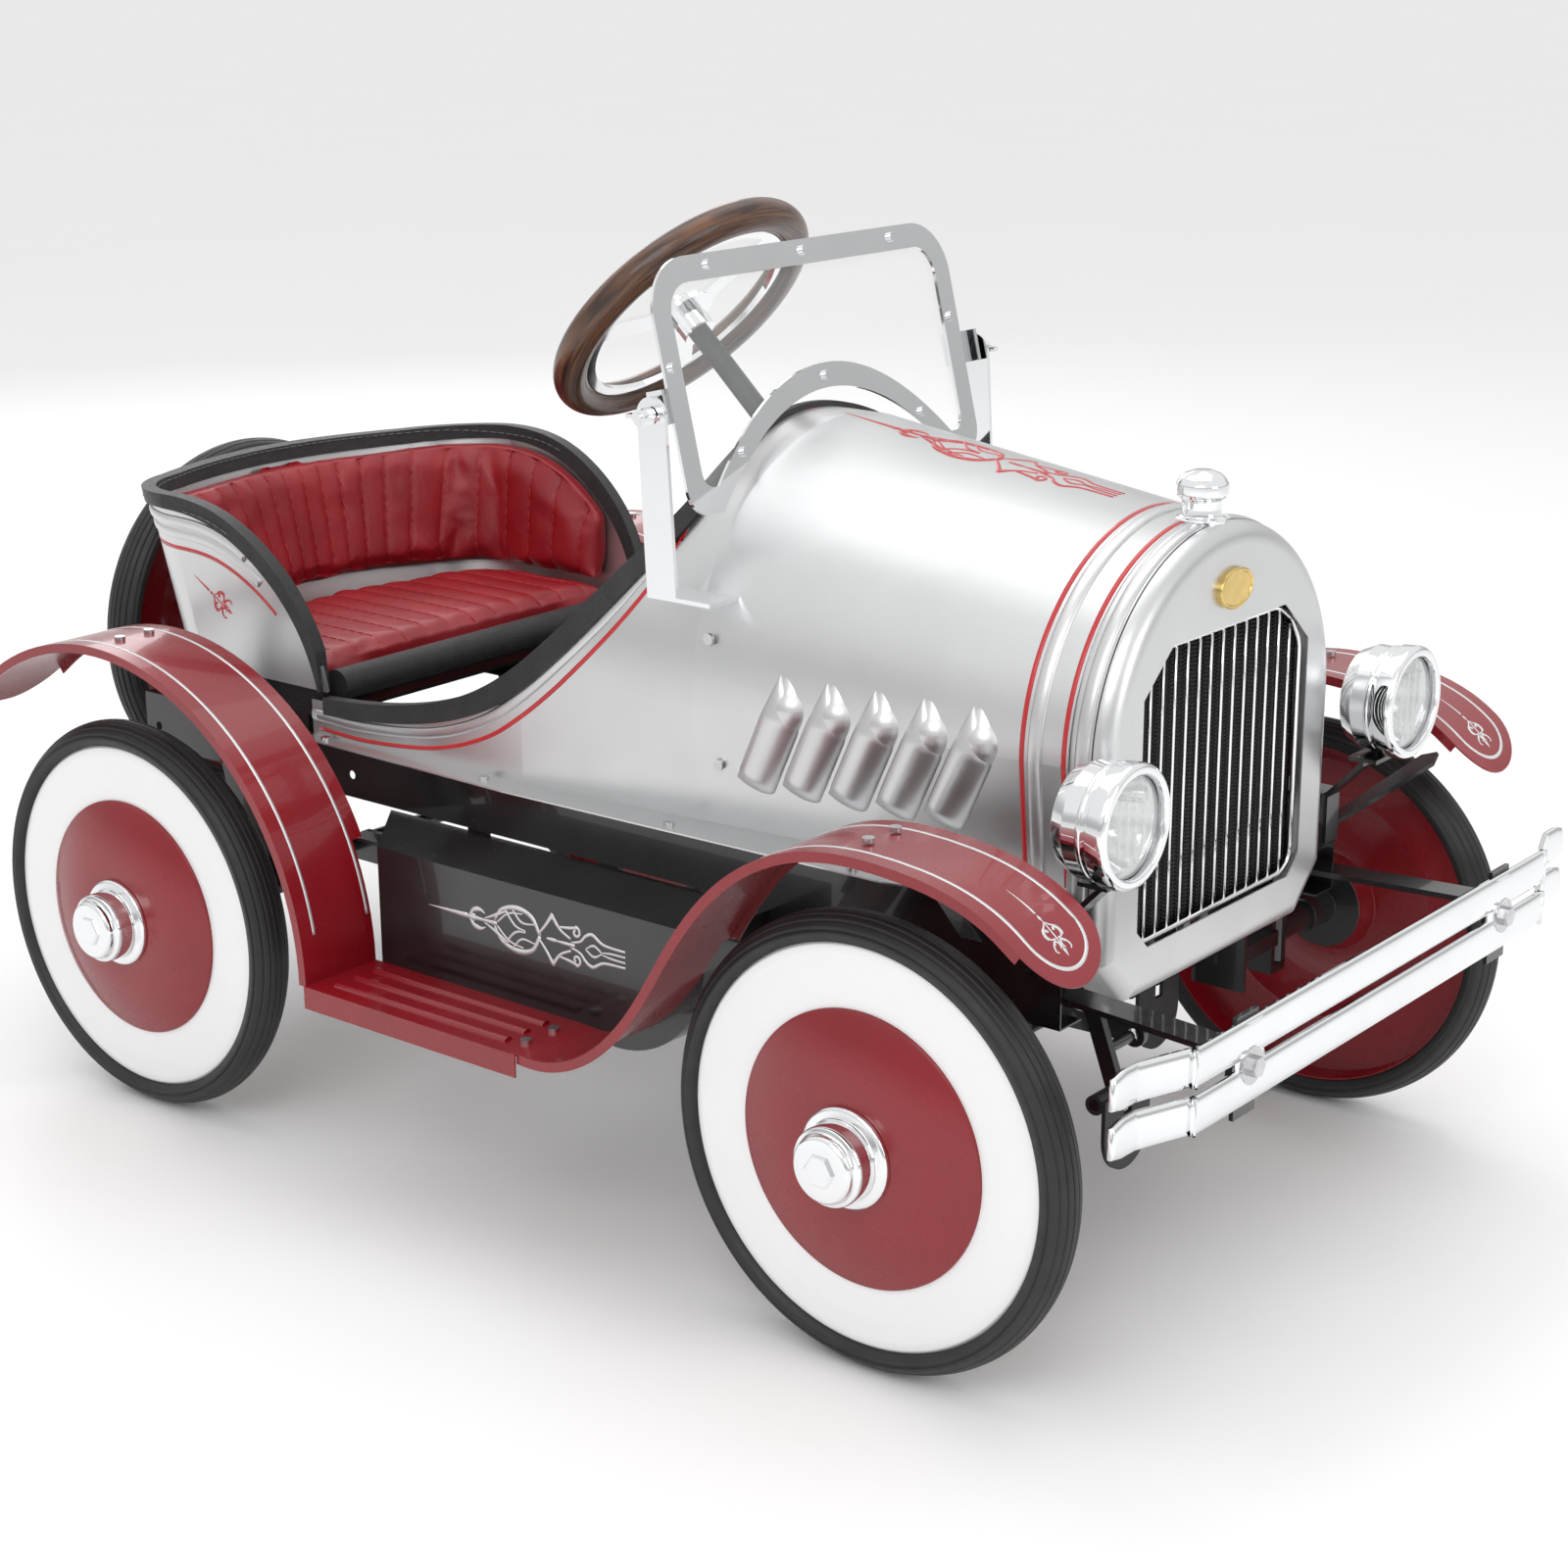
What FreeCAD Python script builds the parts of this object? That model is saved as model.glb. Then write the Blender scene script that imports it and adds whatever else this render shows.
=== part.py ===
"""Pedal car: a sheet-metal roadster with chain-free pedal drive, modelled piece by piece.

Millimetres, +X forward, +Y to the driver's left, +Z up. Lengths along X are measured from the
front axle while modelling; every piece is moved by FRONT_AXLE_X when it is written, so that the
origin is on the ground at the middle of the car's footprint.
"""
import FreeCAD, Part
import math
import os

V = FreeCAD.Vector
UP = V(0, 0, 1)
ACROSS = V(0, 1, 0)
FORWARD = V(1, 0, 0)

# ---- driving dimensions -------------------------------------------------------------------
FRONT_AXLE_X = 364.0        # front axle ahead of the middle of the footprint
WHEELBASE = 713.0
WHEEL_RADIUS = 155.0
WHEEL_Y = 286.0             # middle of each tyre from the centre line
AXLE_Z = WHEEL_RADIUS

TYRE_HALF_WIDTH = 17.0
TYRE_SHOULDER = 9.0         # how far the tread falls from its crown to the sidewall
RIM_RADIUS = 137.0
RED_RADIUS = 93.5           # edge of the domed middle of the disc
DISC_SHEET = 1.6
HUB_FACE = 27.0             # hub's outer end, measured from the tyre's middle plane
HUB_BACK = 22.0
HUB_RADIUS = 14.0
HUBCAP_FLANGE = 34.0
HUBCAP_RADIUS = 27.0
HUBCAP_DEPTH = 28.0

AXLE_RADIUS = 6.35          # half-inch axle steel
PIN_RADIUS = 4.0
RUNNING_FIT = 0.07          # radial clearance of everything that turns
SIDE_PLAY = 0.5             # end clearance of everything that turns

SHEET = 1.2                 # body and fender sheet steel
BAR = 4.0                   # bracket flat bar

RAIL_Y = 180.0              # outer face of each chassis rail
RAIL_FLANGE = 25.0
RAIL_TOP = 293.0
RAIL_BOTTOM = 248.0
RAIL_FRONT_BOTTOM = 215.0   # the rails are deeper beside the pedals
RAIL_REAR_X = -829.0
RAIL_FRONT_X = 70.0
RAIL_STEP_X = (-215.0, -185.0)

ARCH_SPRING_Z = 380.0       # where the hood's flat sides turn into the arch
HOOD_SECTIONS = (           # x, half-width, foot half-width, top
    (50.0, 148.0, 140.0, 518.0),
    (-240.0, 178.0, 168.0, 558.0),
    (-400.0, 181.0, 182.0, 560.0),
    (-620.0, 186.0, 185.5, 560.0),
)
COWL_EDGE_X = -286.0
PIPING_END_X = -604.0
COCKPIT_CURVE = ((-640.0, 322.0), (-514.0, 331.0), (-444.0, 352.0), (-376.0, 397.0),
                 (-311.0, 463.0), (-278.0, 512.0), (COWL_EDGE_X, 575.0))
FLANGE_OUTER = ((48.0, 174.0), (-60.0, 198.0), (-400.0, 205.0), (-620.0, 198.0))

RADIATOR_X = (50.0, 80.0)
RADIATOR_HALF_WIDTH = 146.0
RADIATOR_Z = (213.0, 518.0)
CAP_X = 54.0
CAP_RADIUS = 17.0
CAP_SINK = 8.0
RADIATOR_EDGE = 14.0
GRILLE_HALF_WIDTH = 106.5
GRILLE_TOP_HALF_WIDTH = 72.5
GRILLE_Z = (249.5, 450.5)
GRILLE_BARS = 13
EMBLEM_Z = 475.5

LOUVRES = 5
LOUVRE_PITCH = 37.0
LOUVRE_FIRST_X = -164.0
LOUVRE_Z = (345.0, 386.0)
LOUVRE_LEAN = 21.0
LOUVRE_RADIUS = 18.0
LOUVRE_SINK = 11.0          # how far the bulge's centre line lies inside the hood's side
LOUVRE_TIP = (-2.0, 408.0)  # the point: x from the bulge's upper end, and z

SEAT_Z = (330.0, 466.0)     # foot and rim of the seat tub
SEAT_TOP_PLAN = (197.0, -770.0, -815.0, -842.0, -870.0)
SEAT_FOOT_PLAN = (185.0, -745.0, -785.0, -808.0, -835.0)
SEAT_FRONT_X = -602.0
ARM_CURVE = ((-900.0, 466.0), (-790.0, 463.0), (-714.0, 458.0), (-657.0, 428.0),
             (-619.0, 383.0), (-604.0, 335.0), (-602.0, 300.0))
CUSHION_Z = (310.0, 346.0)
PAD_THICKNESS = 20.0

STEER_TILT = 47.0           # column from the vertical
STEER_HUB = V(-388.0, 0, 612.0)
STEER_LENGTH = 545.0
STEER_RIM_RADIUS = 100.0
STEER_RIM_TUBE = 12.5
SPOKE_TURNS = (85.0, 205.0, 325.0)  # about the column, from its downhill side
COLUMN_RADIUS = 8.0
DROP_ARM = 75.0
DROP_BALL = 5.0

KINGPIN_Y = 222.0
KINGPIN_RADIUS = 5.0
STEER_ARM = 110.0
TIE_ROD_Z = 100.0
TIE_ROD_RADIUS = 5.0

PEDAL_PIVOT = V(15.0, 0, 275.0)
PEDAL_ARM = 140.0
PEDAL_ROD_RADIUS = 110.0    # push rod joint below the pedal pivot
PEDAL_ARM_Y = 98.0
PUSH_ROD_Y = 60.5
CRANK_RADIUS = 38.0
PEDAL_SWING = math.degrees(math.asin(CRANK_RADIUS / PEDAL_ROD_RADIUS))
PAD_Y = (70.0, 126.0)
PAD_DROP = 52.0

FENDER_Y = (240.0, 320.0)
FRONT_FENDER = ((152.0, 296.0), (105.0, 339.0), (33.0, 356.0), (-42.0, 350.0), (-94.0, 322.0),
                (-140.0, 270.0), (-184.0, 203.0), (-225.0, 167.0), (-280.0, 156.0))
REAR_FENDER_RADIUS = 221.0
REAR_FENDER_SWEEP = 139.0
FENDER_ROLL = 7.0           # depth of the fender's rolled edges

BOARD_X = (-492.0, -280.0)
BOARD_Z = 156.0
BOARD_SKIRT = 139.0
BOX_Y = 250.0
BOX_Z = (146.0, 246.0)
BOX_X = (-543.0, -170.0)

LAMP = V(98.0, 184.0, 364.0)
LAMP_RADIUS = 38.0
LAMP_RING_RADIUS = 41.0

BUMPER_X = 206.0
BUMPER_Z = (200.0, 256.0)
BUMPER_SLIT = 3.0
BUMPER_BOLT = V(BUMPER_X, 174.7, 225.1)
BUMPER_JOG = ((237.0, 0.0), (280.0, -16.0), (306.0, -16.0))

SCREEN_TILT = 13.6          # windshield leans back
SCREEN_BASE = V(-263.4, 0, 583.5)
SCREEN_HALF_WIDTH = 170.0
SCREEN_TOP = 98.0
SCREEN_LOBE = -78.0
SCREEN_STRIP = 18.0
SCREEN_ARCH_FALL = 83.0     # the lower strip's fall at SCREEN_ARCH_SPAN from the middle
SCREEN_ARCH_SPAN = 150.0
SCREEN_PIVOT = V(-262.5, 0, 580.0)
POST_Y = 188.0
STUD_RADIUS = 3.0

SPARE = V(-900.0, 0, 313.0)

SCREW_RADIUS = 4.0          # round heads of the body, fender and board screws
SCREW_HEIGHT = 2.5
FLANGE_SCREW_Y = 192.0      # row of screws along the body's foot flange
FENDER_CREST_Z = 358.0
RAIL_HOLE_X = (-585.0, -814.0)
RAIL_HOLE_Z = 266.0
RAIL_HOLE_RADIUS = 3.5
CROSSMEMBER_X = (RAIL_REAR_X + 15, -600.0, -330.0)
SEAT_FOOT_X = (-650.0, -760.0)
CUSHION_PLAN = ((-626.0, 172.0), (-742.0, 172.0), (-786.0, 122.0), (-808.0, 0.0))
TRAY_PLAN = ((-612.0, 180.0), (-745.0, 180.0), (-800.0, 130.0), (-824.0, 0.0))
TRAY_WALL = 3.0
FRONT_ROLL = V(-613.0, 166.0, 330.0)
FRONT_ROLL_RADIUS = 12.5


# ---- shape helpers ------------------------------------------------------------------------
def block(x0, x1, y0, y1, z0, z1):
    return Part.makeBox(x1 - x0, y1 - y0, z1 - z0, V(x0, y0, z0))


def rod(start, end, radius):
    axis = end - start
    return Part.makeCylinder(radius, axis.Length, start, axis)


def tube(start, end, outer, inner):
    return rod(start, end, outer).cut(rod(start, end, inner))


def prism_xz(points, y0, y1):
    """Straight-sided outline in the XZ plane, extruded from y0 to y1."""
    corners = [V(x, y0, z) for x, z in points]
    return Part.Face(Part.makePolygon(corners + corners[:1])).extrude(V(0, y1 - y0, 0))


def prism_yz(points, x0, x1):
    corners = [V(x0, y, z) for y, z in points]
    return Part.Face(Part.makePolygon(corners + corners[:1])).extrude(V(x1 - x0, 0, 0))


def prism_xy(points, z0, z1):
    corners = [V(x, y, z0) for x, y in points]
    return Part.Face(Part.makePolygon(corners + corners[:1])).extrude(V(0, 0, z1 - z0))


def mirrored(shape):
    """The same piece on the other side of the car."""
    return shape.mirror(V(0, 0, 0), ACROSS)


def both(shape):
    return [shape, mirrored(shape)]


def joined(shapes):
    whole = shapes[0].multiFuse(shapes[1:])
    return whole.removeSplitter()


def smooth(points):
    curve = Part.BSplineCurve()
    curve.interpolate(points)
    return curve


def square_to(axis):
    """A unit vector at right angles to an axis that lies along Y or in the XZ plane."""
    return UP if abs(axis.y) > 0.5 else ACROSS


def revolved(points, centre, axis):
    """Ring turned about axis through centre; points are (radius, distance along the axis)."""
    side = square_to(axis)
    corners = [centre + side * r + axis * a for r, a in points]
    face = Part.Face(Part.makePolygon(corners + corners[:1]))
    return face.revolve(centre, axis, 360)


def hexagon(centre, axis, radius, height):
    spoke = square_to(axis) * radius
    corners = [centre + FreeCAD.Rotation(axis, 60 * i).multVec(spoke) for i in range(6)]
    return Part.Face(Part.makePolygon(corners + corners[:1])).extrude(axis * height)


def band_above(points, top, y0, y1):
    """Everything above a smooth XZ curve, up to the height top."""
    curve = smooth([V(x, y0, z) for x, z in points]).toShape()
    first, last = points[0], points[-1]
    lid = Part.makePolygon([V(last[0], y0, last[1]), V(last[0], y0, top),
                            V(first[0], y0, top), V(first[0], y0, first[1])])
    face = Part.Face(Part.Wire([curve] + lid.Edges))
    return face.extrude(V(0, y1 - y0, 0))


def moved(points, dx, dz):
    return [(x + dx, z + dz) for x, z in points]


NODES = {}


def piece(name, *shapes):
    """Register a node made of one or more separate solids."""
    solids = [solid for shape in shapes for solid in shape.Solids]
    NODES[name] = Part.makeCompound(solids)


# ---- wheels -------------------------------------------------------------------------------
def wheel_disc(centre, out):
    """Pressed disc with its hub tube and the band that carries the tyre."""
    dome = [(HUBCAP_FLANGE + (RED_RADIUS - HUBCAP_FLANGE) * t,
             14.0 + (HUB_FACE - 14.0) * (1 - t ** 2)) for t in (0, 0.25, 0.5, 0.75, 1)]
    outer = [(AXLE_RADIUS + RUNNING_FIT, HUB_FACE)] + dome + [(RIM_RADIUS, 12)]
    inner = [(RIM_RADIUS, -13), (RIM_RADIUS - DISC_SHEET, -13), (RIM_RADIUS - DISC_SHEET, 9)]
    inner += [(r, y - DISC_SHEET) for r, y in reversed(dome)]
    inner += [(HUB_RADIUS, HUB_FACE - DISC_SHEET), (HUB_RADIUS, -HUB_BACK),
              (AXLE_RADIUS + RUNNING_FIT, -HUB_BACK)]
    return revolved(outer + inner, centre, out)


def tyre(centre, out):
    """Solid rubber tyre, rounded across the tread."""
    shoulder = WHEEL_RADIUS - TYRE_SHOULDER
    side = square_to(out)
    at = [centre + side * r + out * w for r, w in
          ((RIM_RADIUS, -15), (shoulder, -TYRE_HALF_WIDTH), (WHEEL_RADIUS, 0),
           (shoulder, TYRE_HALF_WIDTH), (RIM_RADIUS, 15))]
    wire = Part.Wire([Part.makeLine(at[0], at[1]), Part.Arc(at[1], at[2], at[3]).toShape(),
                      Part.makeLine(at[3], at[4]), Part.makeLine(at[4], at[0])])
    return Part.Face(wire).revolve(centre, out, 360)


def hubcap(centre, out):
    """Stepped chrome cap with a raised hexagon on its face."""
    top = HUB_FACE + HUBCAP_DEPTH
    shell = revolved([(0, top), (21, top), (HUBCAP_RADIUS, top - 5), (HUBCAP_RADIUS, HUB_FACE + 6),
                      (HUBCAP_FLANGE, HUB_FACE + 3), (HUBCAP_FLANGE, HUB_FACE), (24.5, HUB_FACE),
                      (24.5, top - 6), (20, top - 2.5), (0, top - 2.5)], centre, out)
    boss = hexagon(centre + out * (top - 1), out, 12, 2.5)
    return joined([shell, boss])


def road_wheel(label, centre, out):
    piece("tyre_" + label, tyre(centre, out))
    piece("wheel_disc_" + label, wheel_disc(centre, out))
    piece("hubcap_" + label, hubcap(centre, out))


def axle_nut(centre, out, play):
    return hexagon(centre + out * (HUB_FACE + play), out, 10, 9)


# ---- chassis ------------------------------------------------------------------------------
def chassis_rail():
    web = prism_xz([(RAIL_REAR_X, RAIL_BOTTOM), (RAIL_STEP_X[0], RAIL_BOTTOM),
                    (RAIL_STEP_X[1], RAIL_FRONT_BOTTOM), (RAIL_FRONT_X, RAIL_FRONT_BOTTOM),
                    (RAIL_FRONT_X, RAIL_TOP), (RAIL_REAR_X, RAIL_TOP)],
                   RAIL_Y - SHEET, RAIL_Y)
    inner = RAIL_Y - RAIL_FLANGE
    top = block(RAIL_REAR_X, RAIL_FRONT_X, inner, RAIL_Y, RAIL_TOP - SHEET, RAIL_TOP)
    rear = block(RAIL_REAR_X, RAIL_STEP_X[0], inner, RAIL_Y, RAIL_BOTTOM, RAIL_BOTTOM + SHEET)
    front = block(RAIL_STEP_X[1], RAIL_FRONT_X, inner, RAIL_Y,
                  RAIL_FRONT_BOTTOM, RAIL_FRONT_BOTTOM + SHEET)
    whole = joined([web, top, rear, front])
    for x in RAIL_HOLE_X:
        hole = rod(V(x, RAIL_Y - BAR, RAIL_HOLE_Z), V(x, RAIL_Y + BAR, RAIL_HOLE_Z),
                   RAIL_HOLE_RADIUS)
        whole = whole.cut(hole)
    return whole


def crossmembers():
    """Three flat channels between the rails."""
    span = RAIL_Y - SHEET
    bars = []
    for x in CROSSMEMBER_X:
        top = block(x - 15, x + 15, -span, span, RAIL_TOP - SHEET - 3, RAIL_TOP - SHEET)
        lip = block(x - 15, x - 12, 30 - span, span - 30, RAIL_BOTTOM + 8, RAIL_TOP - SHEET)
        bars.append(joined([top, lip]))
    return bars


def rear_hanger():
    """Plate that carries the rear axle, with its bearing boss."""
    y0 = RAIL_Y - 20
    x = -WHEELBASE
    plate = prism_xz([(x - 47, RAIL_BOTTOM), (x + 47, RAIL_BOTTOM), (x + 17, AXLE_Z - 14),
                      (x - 17, AXLE_Z - 14)], y0, y0 + BAR)
    boss = rod(V(x, y0 - 8, AXLE_Z), V(x, y0 + 12, AXLE_Z), HUB_RADIUS)
    bore = rod(V(x, 0, AXLE_Z), V(x, RAIL_Y, AXLE_Z), AXLE_RADIUS + RUNNING_FIT)
    return joined([plate, boss]).cut(bore)


def axle_bracket():
    """Front axle stub: hangs from the rail and ends in the yoke that holds the kingpin."""
    z = AXLE_Z
    inner = 140.0
    top = block(-30, 30, inner, RAIL_Y - SHEET, RAIL_FRONT_BOTTOM - BAR, RAIL_FRONT_BOTTOM)
    column = block(-22, 22, inner, inner + BAR, z - 22, RAIL_FRONT_BOTTOM)
    beam = block(-12, 12, inner, KINGPIN_Y - 13, z - 6, z + 6)
    gusset = prism_yz([(inner, z - 22), (inner, z - 6), (KINGPIN_Y - 24, z - 6)], -3, 3)
    back = block(-10, 10, KINGPIN_Y - 19, KINGPIN_Y - 14, z - 29, z + 29)
    pieces = [top, column, beam, gusset, back]
    for low in (z - 29, z + 23):
        pieces.append(block(-10, 10, KINGPIN_Y - 19, KINGPIN_Y, low, low + 6))
        pieces.append(rod(V(0, KINGPIN_Y, low), V(0, KINGPIN_Y, low + 6), 10))
    pieces.append(rod(V(0, KINGPIN_Y, z - 33), V(0, KINGPIN_Y, z + 33), KINGPIN_RADIUS))
    pieces.append(rod(V(0, KINGPIN_Y, z + 29), V(0, KINGPIN_Y, z + 35), 8))
    return joined(pieces)


def fender_braces():
    """Straps between the rails and the fenders and running boards."""
    straps = []
    for x, crest in ((0, 352.5), (-WHEELBASE, AXLE_Z + REAR_FENDER_RADIUS - SHEET - 0.5)):
        strap = [(RAIL_Y, 262), (252, crest - 3), (300, crest - 3), (300, crest),
                 (250, crest), (RAIL_Y, 267)]
        straps.append(prism_yz(strap, x - 9, x + 9))
    for x in (BOARD_X[0] + 40, BOARD_X[1] - 40):
        hanger = block(x - 10, x + 10, RAIL_Y - SHEET - BAR, RAIL_Y - SHEET,
                       BOX_Z[0] - BAR, RAIL_BOTTOM)
        arm = block(x - 10, x + 10, RAIL_Y - SHEET - BAR, FENDER_Y[1] - 12,
                    BOX_Z[0] - BAR, BOX_Z[0])
        straps.append(joined([hanger, arm]))
    nose = prism_xy([(42, RAIL_Y), (58, RAIL_Y), (128, 248), (126, 262), (112, 262)], 0, 3)
    straps.append(nose_strut(nose))
    return [side for strap in straps for side in both(strap)]


def nose_strut(plan):
    """Flat strut from the rail to the front fender's nose, rising outwards."""
    low = V(50, RAIL_Y, 250)
    high = V(116, 255, 312)
    rise = math.degrees(math.atan2(high.z - low.z, math.hypot(high.x - low.x, high.y - low.y)))
    plan.translate(V(0, 0, low.z))
    heading = V(high.x - low.x, high.y - low.y, 0)
    plan.rotate(low, heading.cross(UP), rise)
    return plan.cut(block(-50, 200, 0, RAIL_Y, 200, 350))


def column_bearings():
    """Two bearings that hold the steering column: on a cross bar and under the cowl."""
    low = column_point(490)
    bar = block(low.x - 16, low.x + 16, -RAIL_Y + SHEET, RAIL_Y - SHEET, low.z - 24, low.z - 20)
    stand = block(low.x - 10, low.x + 10, -10, 10, low.z - 20, low.z)
    high = column_point(190)
    strap = block(high.x - 10, high.x + 10, -12, 12, high.z, hood_top(high.x) - SHEET - 1)
    holders = []
    for point, shapes in ((low, [bar, stand]), (high, [strap])):
        half = column_axis() * 12
        ring = rod(point - half, point + half, 14)
        bore = rod(column_point(0), column_point(STEER_LENGTH), COLUMN_RADIUS + RUNNING_FIT)
        holders.append(joined(shapes + [ring]).cut(bore))
    return holders


# ---- body ---------------------------------------------------------------------------------
def between(table, x, column):
    """Value of one column of a table of sections, at x."""
    for near, far in zip(table, table[1:]):
        if far[0] <= x <= near[0]:
            share = (x - near[0]) / (far[0] - near[0])
            return near[column] + share * (far[column] - near[column])
    return table[0][column] if x > table[0][0] else table[-1][column]


def hood_top(x):
    return between(HOOD_SECTIONS, x, 3)


def hood_side_y(x, z):
    """Outer face of the hood's flat side."""
    foot = between(HOOD_SECTIONS, x, 2)
    shoulder = between(HOOD_SECTIONS, x, 1)
    return foot + (shoulder - foot) * (z - RAIL_TOP) / (ARCH_SPRING_Z - RAIL_TOP)


def hood_face_y(x, z):
    """Outer face of the hood's side, round the start of the arch as well."""
    if z <= ARCH_SPRING_Z:
        return hood_side_y(x, z)
    share = (z - ARCH_SPRING_Z) / (hood_top(x) - ARCH_SPRING_Z)
    return between(HOOD_SECTIONS, x, 1) * math.sqrt(1 - share ** 2)


def hood_section(x, half_width, foot, top, inset, floor):
    """Closed section: flat sides under a half-ellipse arch."""
    half_width -= inset
    rise = top - inset - ARCH_SPRING_Z
    turns = [math.radians(a) for a in range(0, 181, 20)]
    arch = [V(x, half_width * math.cos(a), ARCH_SPRING_Z + rise * math.sin(a)) for a in turns]
    foot_at = V(x, foot - inset, floor)
    other = V(x, inset - foot, floor)
    return Part.Wire([Part.makeLine(foot_at, arch[0]), smooth(arch).toShape(),
                      Part.makeLine(arch[-1], other), Part.makeLine(other, foot_at)])


def hood_solid(inset, floor):
    wires = [hood_section(x, w, f, t, inset, floor) for x, w, f, t in HOOD_SECTIONS]
    return Part.makeLoft(wires, True, True)


def louvre(index):
    """Leaning bulge in the hood's side, round at its foot and pointed at its top."""
    top_x = LOUVRE_FIRST_X + index * LOUVRE_PITCH
    at = [(top_x - LOUVRE_LEAN, LOUVRE_Z[0]), (top_x, LOUVRE_Z[1]),
          (top_x + LOUVRE_TIP[0], LOUVRE_TIP[1])]
    low, high, tip = [V(x, hood_face_y(x, z) - LOUVRE_SINK, z) for x, z in at]
    point = tip - high
    return joined([rod(low, high, LOUVRE_RADIUS), Part.makeSphere(LOUVRE_RADIUS, low),
                   Part.makeSphere(LOUVRE_RADIUS, high),
                   Part.makeCone(LOUVRE_RADIUS, LOUVRE_SINK, point.Length, high, point)])


def body_shell():
    outer = hood_solid(0, RAIL_TOP)
    for index in range(LOUVRES):
        for bump in both(louvre(index)):
            outer = outer.fuse(bump)
    inner = hood_solid(SHEET, RAIL_TOP - 1)
    cockpit = band_above(COCKPIT_CURVE, 620, -250, 250)
    shell = outer.cut(inner).cut(cockpit)
    plan = list(FLANGE_OUTER)
    plan += [(x, between(HOOD_SECTIONS, x, 2) - SHEET) for x in (-620, -400, -240, 48)]
    lips = both(prism_xy(plan, RAIL_TOP, RAIL_TOP + SHEET))
    return joined([shell] + lips)


def body_piping(shell):
    """Soft edging that straddles the cut edge of the cockpit, up one side and over the cowl."""
    lip = hood_solid(-4, RAIL_TOP + SHEET + 1).cut(hood_solid(SHEET + 4, RAIL_TOP))
    below = band_above(moved(COCKPIT_CURVE, 8, -9), 620, -250, 250)
    clear = band_above(moved(COCKPIT_CURVE, -3, 4), 630, -260, 260)
    edge = lip.common(below).cut(clear).cut(shell)
    return edge.common(block(PIPING_END_X, COWL_EDGE_X + 60, -250, 250, RAIL_TOP, 620))


def radiator_outline(inset):
    half_width = RADIATOR_HALF_WIDTH - inset
    low = RADIATOR_Z[0] + inset
    rise = RADIATOR_Z[1] - inset - ARCH_SPRING_Z
    turns = [math.radians(a) for a in range(0, 181, 20)]
    arch = [V(0, half_width * math.cos(a), ARCH_SPRING_Z + rise * math.sin(a)) for a in turns]
    chamfer = 34.0
    foot = [V(0, -half_width, low + chamfer), V(0, chamfer - half_width, low),
            V(0, half_width - chamfer, low), V(0, half_width, low + chamfer)]
    sides = Part.makePolygon([arch[-1]] + foot + [arch[0]])
    return Part.Wire([smooth(arch).toShape()] + sides.Edges)


def grille_outline(inset):
    w = GRILLE_HALF_WIDTH - inset
    t = GRILLE_TOP_HALF_WIDTH - inset * 0.6
    low = GRILLE_Z[0] + inset
    high = GRILLE_Z[1] - inset
    corner = 14.0 - inset / 2
    side = [(w, high - 30), (w, low + corner), (w - corner, low)]
    return [(t, high)] + side + [(-y, z) for y, z in reversed(side)] + [(-t, high)]


def radiator_shell():
    face = Part.Face(radiator_outline(0))
    depth = RADIATOR_X[1] - RADIATOR_X[0]
    solid = face.extrude(V(depth, 0, 0))
    front = [e for e in solid.Edges if all(abs(v.X - depth) < 0.01 for v in e.Vertexes)]
    solid = solid.makeFillet(RADIATOR_EDGE, front)
    hollow = Part.Face(radiator_outline(SHEET)).extrude(V(depth - RADIATOR_EDGE, 0, 0))
    relief = Part.Face(radiator_outline(RADIATOR_EDGE)).extrude(V(depth - SHEET, 0, 0))
    shell = solid.cut(hollow).cut(relief)
    shell.translate(V(RADIATOR_X[0], 0, 0))
    opening = prism_yz(grille_outline(0), RADIATOR_X[0], RADIATOR_X[1] + 5)
    return shell.cut(opening)


def grille():
    """Bright frame with upright bars, and the woven mesh behind them."""
    back = RADIATOR_X[1] - 8
    frame = prism_yz(grille_outline(0), back, back + 5).cut(
        prism_yz(grille_outline(5), back - 1, back + 6))
    pitch = 2 * (GRILLE_HALF_WIDTH - 5) / (GRILLE_BARS + 1)
    bars = []
    for index in range(GRILLE_BARS):
        y = (index - (GRILLE_BARS - 1) / 2) * pitch
        bars.append(block(back, back + 3, y - 1.5, y + 1.5, GRILLE_Z[0], GRILLE_Z[1]))
    inside = prism_yz(grille_outline(1), back, back + 5)
    front = joined([frame] + [bar.common(inside) for bar in bars])
    rim = prism_yz(grille_outline(-8), back - 3, back - 1.5)
    backing = prism_yz(grille_outline(-8), back - 1.5, back - 0.0).cut(
        prism_yz(grille_outline(0), back - 2, back + 1))
    piece("grille", front, joined([rim, backing]))


def emblem():
    """Plain oval badge above the grille."""
    badge = Part.Ellipse(V(RADIATOR_X[1], 21.5, EMBLEM_Z), V(RADIATOR_X[1], 0, EMBLEM_Z + 14),
                         V(RADIATOR_X[1], 0, EMBLEM_Z)).toShape()
    return Part.Face(Part.Wire([badge])).extrude(V(3, 0, 0))


def radiator_cap():
    """Turned filler cap whose foot goes down through the crown."""
    foot = RADIATOR_Z[1] - CAP_SINK
    return revolved([(0, foot), (CAP_RADIUS, foot), (CAP_RADIUS, foot + 9), (13.4, foot + 11),
                     (13.4, foot + 22), (17.4, foot + 25), (17.4, foot + 33), (13, foot + 39),
                     (6, foot + 41), (0, foot + 41)], V(CAP_X, 0, 0), UP)


def cap_hole():
    """Space that the cap's foot takes out of the crown."""
    foot = V(CAP_X, 0, RADIATOR_Z[1] - CAP_SINK)
    return rod(foot, foot + UP * 2 * CAP_SINK, CAP_RADIUS)


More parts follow.
